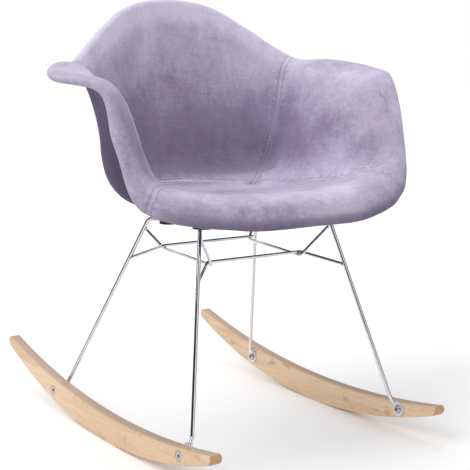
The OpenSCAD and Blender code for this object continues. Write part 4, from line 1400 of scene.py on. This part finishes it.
@dataclass
class WireBase:
    """The welded base: four bent legs, a front and a rear brace and two side braces."""

    fixings: "FootFixings"
    leg_d: float = 6.5
    brace_d: float = 5.0
    leg_bend: float = 10.0
    brace_bend: float = 8.0
    front_tail: tuple[float, float] = (24.0, -30.2)
    rear_tail: tuple[float, float] = (20.8, 30.8)
    foot_x: float = 188.75
    ankle_in: float = 5.0
    ankle_back: float = 3.0
    ankle_rise: float = 11.0
    tab_r: float = 13.0
    tab_lap: float = 0.4
    brace_half: float = 87.0
    side_x: float = 83.0
    front_brace: tuple[float, float] = (-135.0, 288.5)
    rear_brace: tuple[float, float] = (0.0, 295.0)
    front_weld: float = 18.0
    rear_weld: float = 24.0
    side_front_drop: float = 12.0
    side_rear_drop: float = 15.0
    side_lap: float = 6.0
    weld_lap: float = 0.6
    rod_sides: int = 28
    collar_sides: int = 20
    collar: tuple[tuple[float, float], ...] = (
        (2.4, 2.1), (2.75, 1.9), (3.2, 0.9), (3.7, 0.0), (3.5, -0.9), (2.3, -1.2))

    def _path(self, end: End, side: Side) -> list[Points]:
        """Corner points of a leg, from its foot to its tab."""
        front = end is End.FRONT
        foot = np.array([self.foot_x, *self.fixings.foot(end)])
        mount = np.array(FRONT_MOUNT if front else REAR_MOUNT)
        tail = np.array([*(self.front_tail if front else self.rear_tail), 0.0])
        ankle = foot + (-self.ankle_in, self.ankle_back if front else -self.ankle_back, self.ankle_rise)
        tip = mount + unit(tail) * (self.tab_r - self.tab_lap)
        return [p * (side.value, 1, 1) for p in (foot, ankle, mount + tail, tip)]

    @staticmethod
    def _rounded(path: Sequence[Points], bend: float, step: float = 6.0) -> Points:
        """A path of corner points with its inner corners rounded, in metres."""
        line = [path[0]]
        for a, p, b in zip(path, path[1:], path[2:]):
            go, out = unit(p - a), unit(b - p)
            angle = math.acos(float(np.clip(go @ out, -1, 1)))
            inward = unit(out - go * (go @ out))
            centre = p - go * bend * math.tan(angle / 2) + inward * bend
            count = max(2, math.ceil(math.degrees(angle) / step))
            for k in range(count + 1):
                turn = angle * k / count
                line.append(centre - inward * bend * math.cos(turn) + go * bend * math.sin(turn))
        line.append(path[-1])
        return np.array(line) * MM

    def _on_leg(self, end: End, side: Side, z: float) -> Points:
        """The point of a leg's straight run at a height."""
        _, ankle, top, _ = self._path(end, side)
        return top + (ankle - top) * (top[2] - z) / (top[2] - ankle[2])

    def _brace(self, end: End) -> list[Points]:
        """Corner points of the front or rear brace."""
        y, z = self.front_brace if end is End.FRONT else self.rear_brace
        drop = self.front_weld if end is End.FRONT else self.rear_weld
        ends = [self._on_leg(end, side, z - drop) for side in Side]
        return [ends[0], np.array([-self.brace_half, y, z]), np.array([self.brace_half, y, z]), ends[1]]

    def _side_brace(self, side: Side) -> list[Points]:
        """Corner points of a side brace, from the rear leg to the front leg."""
        x = side.value * self.side_x
        rear = self._on_leg(End.REAR, side, REAR_MOUNT[2] - self.side_rear_drop)
        front = self._on_leg(End.FRONT, side, FRONT_MOUNT[2] - self.side_front_drop)
        (front_y, front_z), (rear_y, rear_z) = self.front_brace, self.rear_brace
        return [rear, np.array([x, rear_y + self.side_lap, rear_z - self.brace_d]),
                np.array([x, front_y - self.side_lap, front_z - self.brace_d]), front]

    @staticmethod
    def _shortened(path: list[Points], by: float) -> list[Points]:
        """A path whose two ends stop a distance short."""
        path = [p.copy() for p in path]
        path[0] = path[0] + unit(path[1] - path[0]) * by
        path[-1] = path[-1] + unit(path[-2] - path[-1]) * by
        return path

    def build(self, rods: Tree) -> list[bpy.types.Object]:
        """Builds and dresses the rods and their welds."""
        chrome = CHROME.material()
        pieces = []
        for end in End:
            for side in Side:
                line = self._rounded(self._path(end, side), self.leg_bend)
                piece = self._rod(rods, f"{end.value}_{side.word}_leg_wire", line, self.leg_d, chrome)
                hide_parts(f"{end.value}_{side.word}_leg")
                pieces.append(piece)
        cut_by = self.leg_d / 2 - self.weld_lap
        braces = {"front_brace": self._brace(End.FRONT), "rear_brace": self._brace(End.REAR),
                  "left_brace": self._side_brace(Side.LEFT), "right_brace": self._side_brace(Side.RIGHT)}
        welds: list[tuple[Points, Points]] = []
        for name, path in braces.items():
            line = self._rounded(self._shortened(path, cut_by), self.brace_bend)
            piece = self._rod(rods, f"{name}_wire", line, self.brace_d, chrome)
            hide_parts(name)
            pieces.append(piece)
            for tip, back in ((path[0], path[1]), (path[-1], path[-2])):
                way = unit(back - tip)
                welds.append(((tip + way * (self.leg_d / 2)) * MM, way))
        pieces.append(self._welds(welds, chrome))
        return pieces

    def _rod(self, rods: Tree, name: str, line: Points, diameter: float,
             chrome: bpy.types.Material) -> bpy.types.Object:
        """Draws one rod along a line."""
        source = lines_object(f"{name}_line", [line])
        piece = rods.run(source, name, {"Diameter": diameter * MM, "Sides": self.rod_sides,
                                        "Material": chrome, "Seed": 1})
        crisp(piece, 50)
        return dress(piece, chrome)

    def _welds(self, welds: Sequence[tuple[Points, Points]], chrome: bpy.types.Material) -> bpy.types.Object:
        """Makes a small uneven collar of weld where each brace meets a leg.

        Args:
            welds: Middle of each collar in metres, and the way of its brace.
            chrome: What the collars are made of.

        Returns:
            The collars as one piece.
        """
        verts: list[Points] = []
        faces: list[tuple[int, ...]] = []
        angles = 2 * math.pi * np.arange(self.collar_sides) / self.collar_sides
        rng = np.random.default_rng(9)
        for centre, way in welds:
            across = unit(np.cross(way, (0.3, 0.2, 0.93)))
            ring = np.outer(np.cos(angles), across) + np.outer(np.sin(angles), np.cross(way, across))
            uneven = 1 + 0.07 * np.sin(3 * angles + rng.uniform(0, 6))
            faces += capped_faces(len(self.collar), self.collar_sides, len(verts))
            for radius, along in self.collar:
                verts += list(centre + (ring * radius * uneven[:, None] + way * along) * MM)
        piece = mesh_object("weld_collars", np.array(verts), faces)
        return dress(crisp(piece, 60), chrome)


@dataclass
class SeatMounts:
    """What joins the tub to the legs: rubber, cups, tabs, screws and inserts, which keep their CAD form."""

    def dress(self) -> None:
        """Gives each node its material."""
        rubber, steel = RUBBER.material(), STEEL.material()
        for node, material in (("rubber_mounts", rubber), ("rubber_cups", rubber), ("mount_tabs", steel),
                               ("mount_screws", steel), ("mount_inserts", BRASS.material())):
            paint(node, material)


# The rockers


@dataclass
class Rockers:
    """Two curved beech rockers with the pockets and bores of their fixings."""

    length: float = 684.0
    thickness: float = 20.0
    roll_r: float = 933.0
    roll_y: float = -33.0
    height: float = 42.0
    top_r: float = 1585.0
    top_y: float = -63.0
    ease: float = 3.0
    nose: float = 6.5
    stations: int = 190
    nose_gap: float = 2.0
    corner: int = 4
    pocket: float = 2.5
    pocket_reach: float = 34.0
    plate_d: float = 25.2
    neck: float = 12.2
    neck_angle: float = 0.51
    head_d: float = 17.2
    head_t: float = 3.0
    sleeve_d: float = 9.2

    def under(self, y: Points) -> Points:
        """Height of the underside at places along Y, in millimetres."""
        return self.roll_r - np.sqrt(self.roll_r ** 2 - (y - self.roll_y) ** 2)

    def upper(self, y: Points) -> Points:
        """Height of the upper edge at places along Y, in millimetres."""
        return self.height + self.top_r - np.sqrt(self.top_r ** 2 - (y - self.top_y) ** 2)

    def _section(self, y: float, inset: float) -> Points:
        """Outline of the rocker's section at a place, with round corners.

        Args:
            y: The place along Y, in millimetres.
            inset: How much lower it is at top and bottom than the whole section.

        Returns:
            Points in millimetres that turn left seen from the front.
        """
        low, high = float(self.under(np.array(y))) + inset, float(self.upper(np.array(y))) - inset
        tuck = self.ease * 0.4 * (inset / self.nose) ** 2
        right, left = ROCKER_OUT - tuck, ROCKER_OUT - self.thickness + tuck
        r = min(self.ease, (high - low) / 2 - 0.02)
        corners = ((right - r, low + r), (right - r, high - r), (left + r, high - r), (left + r, low + r))
        outline = []
        for quarter, (x, z) in enumerate(corners):
            for k in range(self.corner + 1):
                a = math.radians(90 * (quarter - 1 + k / self.corner))
                outline.append((x + r * math.cos(a), y, z + r * math.sin(a)))
        return np.array(outline)

    def _blank(self, name: str) -> bpy.types.Object:
        """The right rocker before it is drilled."""
        end, nose = self.length / 2, self.nose
        steps = [nose * (1 - math.cos(math.radians(a))) for a in range(4, 91, 8)]
        tips = [(d, nose - math.sqrt(max(nose ** 2 - (nose - d) ** 2, 0))) for d in steps]
        straight = end - nose - self.nose_gap
        places = [(-end + d, inset) for d, inset in tips]
        places += [(float(y), 0.0) for y in np.linspace(-straight, straight, self.stations)]
        places += [(end - d, inset) for d, inset in tips[::-1]]
        rings = np.array([self._section(y, inset) for y, inset in places]) * MM
        return mesh_object(name, rings.reshape(-1, 3), capped_faces(*rings.shape[:2]))

    def build(self, fixings: "FootFixings") -> list[bpy.types.Object]:
        """Builds and dresses both rockers."""
        beech, end_grain = BEECH.material(), BEECH_END.material()
        pieces = []
        for side in (Side.RIGHT, Side.LEFT):
            tools = [tool for end in End for tool in self._tools(fixings, end)]
            rocker = crisp(cut(self._blank("blank"), tools, f"{side.word}_beech_rocker"), 30)
            if side is Side.LEFT:
                mirror(rocker)
            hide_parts(f"{side.word}_rocker")
            pieces.append(dress(rocker, beech))
            rocker.data.materials.append(end_grain)
            limit = (self.length / 2 - self.nose) * MM
            for face in rocker.data.polygons:
                face.material_index = int(abs(face.center.y) > limit and abs(face.normal.y) > 0.35)
        return pieces

    def _tools(self, fixings: "FootFixings", end: End) -> list[bpy.types.Object]:
        """Cutters for one foot's pocket, bore and head recess."""
        inner = ROCKER_OUT - self.thickness
        y, z = fixings.bolt(end)
        dy, dz = fixings.neck_way(end)
        a = math.atan2(dz, dy)
        disc = [(y + self.plate_d / 2 * math.cos(t), z + self.plate_d / 2 * math.sin(t))
                for t in np.linspace(a + self.neck_angle, a + 2 * math.pi - self.neck_angle, 40)]
        side = np.array([-math.sin(a), math.cos(a)]) * self.neck / 2
        far = np.array([y, z]) + np.array([math.cos(a), math.sin(a)]) * self.pocket_reach
        outline = [tuple(far - side), tuple(far + side)] + disc
        bore, head = ring_points(y, z, self.sleeve_d / 2, 32), ring_points(y, z, self.head_d / 2, 48)
        return [prism("pocket_cutter", outline, inner - 2, inner + self.pocket),
                prism("bore_cutter", bore, inner, ROCKER_OUT + 1),
                prism("recess_cutter", head, ROCKER_OUT - self.head_t, ROCKER_OUT + 1.5)]


# Foot fixings


@dataclass
class FootFixings:
    """Round foot plates, button head bolts and sleeve nuts that hold the legs on the rockers."""

    front: tuple[float, float] = (-258.0, 42.03)
    rear: tuple[float, float] = (156.0, 37.31)
    plate_in_x: float = 192.0
    plate_out_x: float = 196.0
    head_d: float = 14.0
    head_h: float = 4.0
    shank_r: float = 2.9
    shank_l: float = 17.6
    nut_d: float = 17.0
    nut_h: float = 3.0
    sleeve_r: float = 4.5
    bore_r: float = 3.1
    flats: float = 5.0
    socket: float = 2.5

    def bolt(self, end: End) -> tuple[float, float]:
        """Place of a bolt in Y and Z."""
        return self.front if end is End.FRONT else self.rear

    def neck_way(self, end: End) -> tuple[float, float]:
        """The way in Y and Z from a bolt to the leg's foot."""
        return (8.0, 9.0) if end is End.FRONT else (-4.0, 9.0)

    def foot(self, end: End) -> tuple[float, float]:
        """Place of a leg's foot in Y and Z."""
        (y, z), (dy, dz) = self.bolt(end), self.neck_way(end)
        return y + dy, z + dz

    def _hex(self, x0: float, x1: float) -> bpy.types.Object:
        """A hexagonal cutter along X."""
        radius = self.flats / math.cos(math.radians(30)) / 2
        return prism("hex_cutter", ring_points(0, 0, radius, 6), x0, x1)

    def _bolt_piece(self) -> bpy.types.Object:
        """A bolt whose head stands towards -X of the plate's inner face at 0."""
        r, h, shank, length = self.head_d / 2, self.head_h, self.shank_r, self.shank_l
        profile = [(-h, 0.0), (-h, r - 2.6), (-h + 0.25, r - 1.7), (-h + 0.9, r - 0.75), (-h + 1.9, r - 0.15),
                   (-h + 2.6, r), (-0.25, r), (0.0, r - 0.25), (0.0, shank), (0.2, shank),
                   (length - 0.4, shank), (length, shank - 0.4), (length, 0.0)]
        blank = turned("bolt_blank", profile)
        return crisp(cut(blank, [self._hex(-h - 1, -h + self.socket)], "bolt_piece"), 40)

    def _nut_piece(self) -> bpy.types.Object:
        """A sleeve nut whose head's face is at 0 and looks towards +X."""
        r, h, sleeve = self.nut_d / 2, self.nut_h, self.sleeve_r
        length = ROCKER_OUT - self.plate_out_x
        profile = [(-length, 0.0), (-length, sleeve - 0.3), (-length + 0.3, sleeve), (-h, sleeve),
                   (-h, r - 0.2), (-h + 0.2, r), (-1.3, r), (-0.6, r - 0.25), (-0.15, r - 0.9),
                   (0.0, r - 1.8), (0.0, 0.0)]
        blank = turned("nut_blank", profile)
        bore = prism("bore", ring_points(0, 0, self.bore_r, 32), -length - 1, -h)
        return crisp(cut(blank, [self._hex(-self.socket, 1), bore], "nut_piece"), 40)

    def build(self) -> list[bpy.types.Object]:
        """Sets the bolts and sleeve nuts at the four feet and dresses the plates."""
        steel = BOLT_STEEL.material()
        pieces = []
        for name, piece, x, node in (("button_bolts", self._bolt_piece(), self.plate_in_x, "foot_bolts"),
                                     ("sleeve_nut_heads", self._nut_piece(), ROCKER_OUT, "sleeve_nuts")):
            points = [(side.value * x * MM, self.bolt(end)[0] * MM, self.bolt(end)[1] * MM)
                      for end in End for side in Side]
            source = mesh_object(f"{name}_places", np.array(points), [])
            store(source, "turn", [0.0 if p[0] > 0 else math.pi for p in points])
            copies = copies_tree().run(source, name, {"Piece": piece, "Material": steel, "Seed": 1})
            bpy.data.objects.remove(piece)
            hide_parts(node)
            pieces.append(dress(crisp(copies, 40), steel))
        paint("foot_plates", PLATE_CHROME.material())
        return pieces


# The studio


@dataclass(frozen=True)
class Lamp:
    """A broad far lamp."""

    name: str
    way: tuple[float, float, float]
    angle: float
    power: float

    def hang(self) -> None:
        """Hangs the lamp the named way from the chair, with its angle in degrees."""
        data = bpy.data.lights.new(self.name, "SUN")
        data.angle = math.radians(self.angle)
        data.energy = self.power
        lamp = linked(self.name, data)
        lamp.matrix_world = (-Vector(self.way)).to_track_quat("-Z", "Y").to_matrix().to_4x4()


@dataclass
class Studio:
    """A plain white floor and backdrop, soft light and the camera.

    What chromed metal shows of the backdrop is dim towards dim_way and the opposite way: full up to the
    first share of dim_range and dim_level from the second on.
    """

    place: tuple[float, float, float] = (-1.0496, -1.6750, 0.6193)
    azimuth: float = -33.32
    elevation: float = 9.045
    lens: float = 93.15
    world_level: float = 0.68
    dim_way: tuple[float, float, float] = (-0.98, -0.20, 0.0)
    dim_range: tuple[float, float] = (0.30, 0.55)
    dim_level: float = 0.03
    floor_far: float = 14.0
    floor_near: float = 0.8
    floor_grey: float = 0.82
    floor_gain: float = 1.06
    lamps: tuple[Lamp, ...] = (
        Lamp("key", (-1.0, -0.12, 0.95), 34.0, 0.84),
        Lamp("top", (-0.30, 0.45, 1.35), 50.0, 0.76))

    def camera(self) -> None:
        """Sets the camera."""
        az, el = math.radians(self.azimuth), math.radians(self.elevation)
        back = Vector((math.sin(az) * math.cos(el), -math.cos(az) * math.cos(el), math.sin(el)))
        right = Vector((math.cos(az), math.sin(az), 0.0))
        data = bpy.data.cameras.new("camera")
        data.lens = self.lens
        data.sensor_width = 36.0
        data.sensor_fit = "HORIZONTAL"
        camera = linked("camera", data)
        turn = Matrix((right, back.cross(right), back)).transposed().to_4x4()
        camera.matrix_world = Matrix.Translation(self.place) @ turn
        bpy.context.scene.camera = camera

    @staticmethod
    def _either(tree: bpy.types.NodeTree, *rays: bpy.types.NodeSocket) -> bpy.types.NodeSocket:
        """One where any of some sockets is one."""
        seen = rays[0]
        for ray in rays[1:]:
            seen = add_node(tree, "ShaderNodeMath", {0: seen, 1: ray}, operation="MAXIMUM").outputs["Value"]
        return seen

    def floor(self) -> None:
        """Lays the floor, white to the camera but for the chair's shadow."""
        near, far = self.floor_near, self.floor_far
        az = math.radians(self.azimuth)
        right, away = np.array([math.cos(az), math.sin(az), 0]), np.array([-math.sin(az), math.cos(az), 0])
        corners = [right * a + away * b for a, b in ((-near, -near), (far, -near), (far, far), (-near, far))]
        floor = mesh_object("floor", np.array(corners), [(0, 1, 2, 3)], smooth=False)
        material = bpy.data.materials.new("floor_white")
        material.use_nodes = True
        tree = material.node_tree
        tree.nodes.clear()
        path = add_node(tree, "ShaderNodeLightPath", {}).outputs
        seen = self._either(tree, path["Is Camera Ray"], path["Is Glossy Ray"])
        tones = {0: seen, 6: (*grey(self.floor_grey), 1), 7: (*grey(self.floor_gain), 1)}
        tone = add_node(tree, "ShaderNodeMix", tones, data_type="RGBA").outputs[2]
        diffuse = add_node(tree, "ShaderNodeBsdfDiffuse", {"Color": tone}).outputs["BSDF"]
        add_node(tree, "ShaderNodeOutputMaterial", {"Surface": diffuse})
        floor.data.materials.append(material)

    def world(self) -> None:
        """Hangs a white backdrop, which metal shows dim at both sides, and an even light on the chair."""
        world = bpy.data.worlds.new("studio_white")
        bpy.context.scene.world = world
        world.use_nodes = True
        tree = world.node_tree
        tree.nodes.clear()
        path = add_node(tree, "ShaderNodeLightPath", {}).outputs
        way = add_node(tree, "ShaderNodeTexCoord", {}).outputs["Generated"]
        side = add_node(tree, "ShaderNodeVectorMath", {0: way, 1: self.dim_way}, operation="DOT_PRODUCT")
        share = add_node(tree, "ShaderNodeMath", {0: side.outputs["Value"]}, operation="ABSOLUTE")
        dim = add_node(tree, "ShaderNodeMapRange", {
            "Value": share.outputs["Value"], "From Min": self.dim_range[0], "From Max": self.dim_range[1],
            "To Min": 1.0, "To Max": self.dim_level})
        levels = {0: path["Is Glossy Ray"], 2: 1.0, 3: dim.outputs["Result"]}
        level = add_node(tree, "ShaderNodeMix", levels, data_type="FLOAT").outputs[0]
        white = add_node(tree, "ShaderNodeBackground", {"Color": (1, 1, 1, 1), "Strength": level})
        soft = add_node(tree, "ShaderNodeBackground", {"Color": (1, 1, 1, 1), "Strength": self.world_level})
        seen = self._either(tree, path["Is Camera Ray"], path["Is Glossy Ray"], path["Is Transmission Ray"])
        mix = add_node(tree, "ShaderNodeMixShader", {
            "Fac": seen, 1: soft.outputs["Background"], 2: white.outputs["Background"]})
        add_node(tree, "ShaderNodeOutputWorld", {"Surface": mix.outputs["Shader"]})

    def build(self) -> None:
        """Sets up camera, floor, world and lamps."""
        self.camera()
        self.floor()
        self.world()
        for lamp in self.lamps:
            lamp.hang()
        bpy.context.scene.view_settings.view_transform = "Standard"


def main() -> None:
    """Builds every piece in order."""
    logging.basicConfig(level=logging.INFO, format="%(name)s: %(message)s")
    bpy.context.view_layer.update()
    Studio().build()
    form, seams = TubForm(), Seams()
    rods = tube_tree()
    velvet = VelvetCover(form, seams)
    velvet.build()
    velvet.stitches()
    tub = TubBack(form)
    tub.outer_cover()
    tub.welt(rods)
    tub.hidden()
    fixings = FootFixings()
    WireBase(fixings).build(rods)
    SeatMounts().dress()
    Rockers().build(fixings)
    fixings.build()


if __name__ == "__main__":
    main()
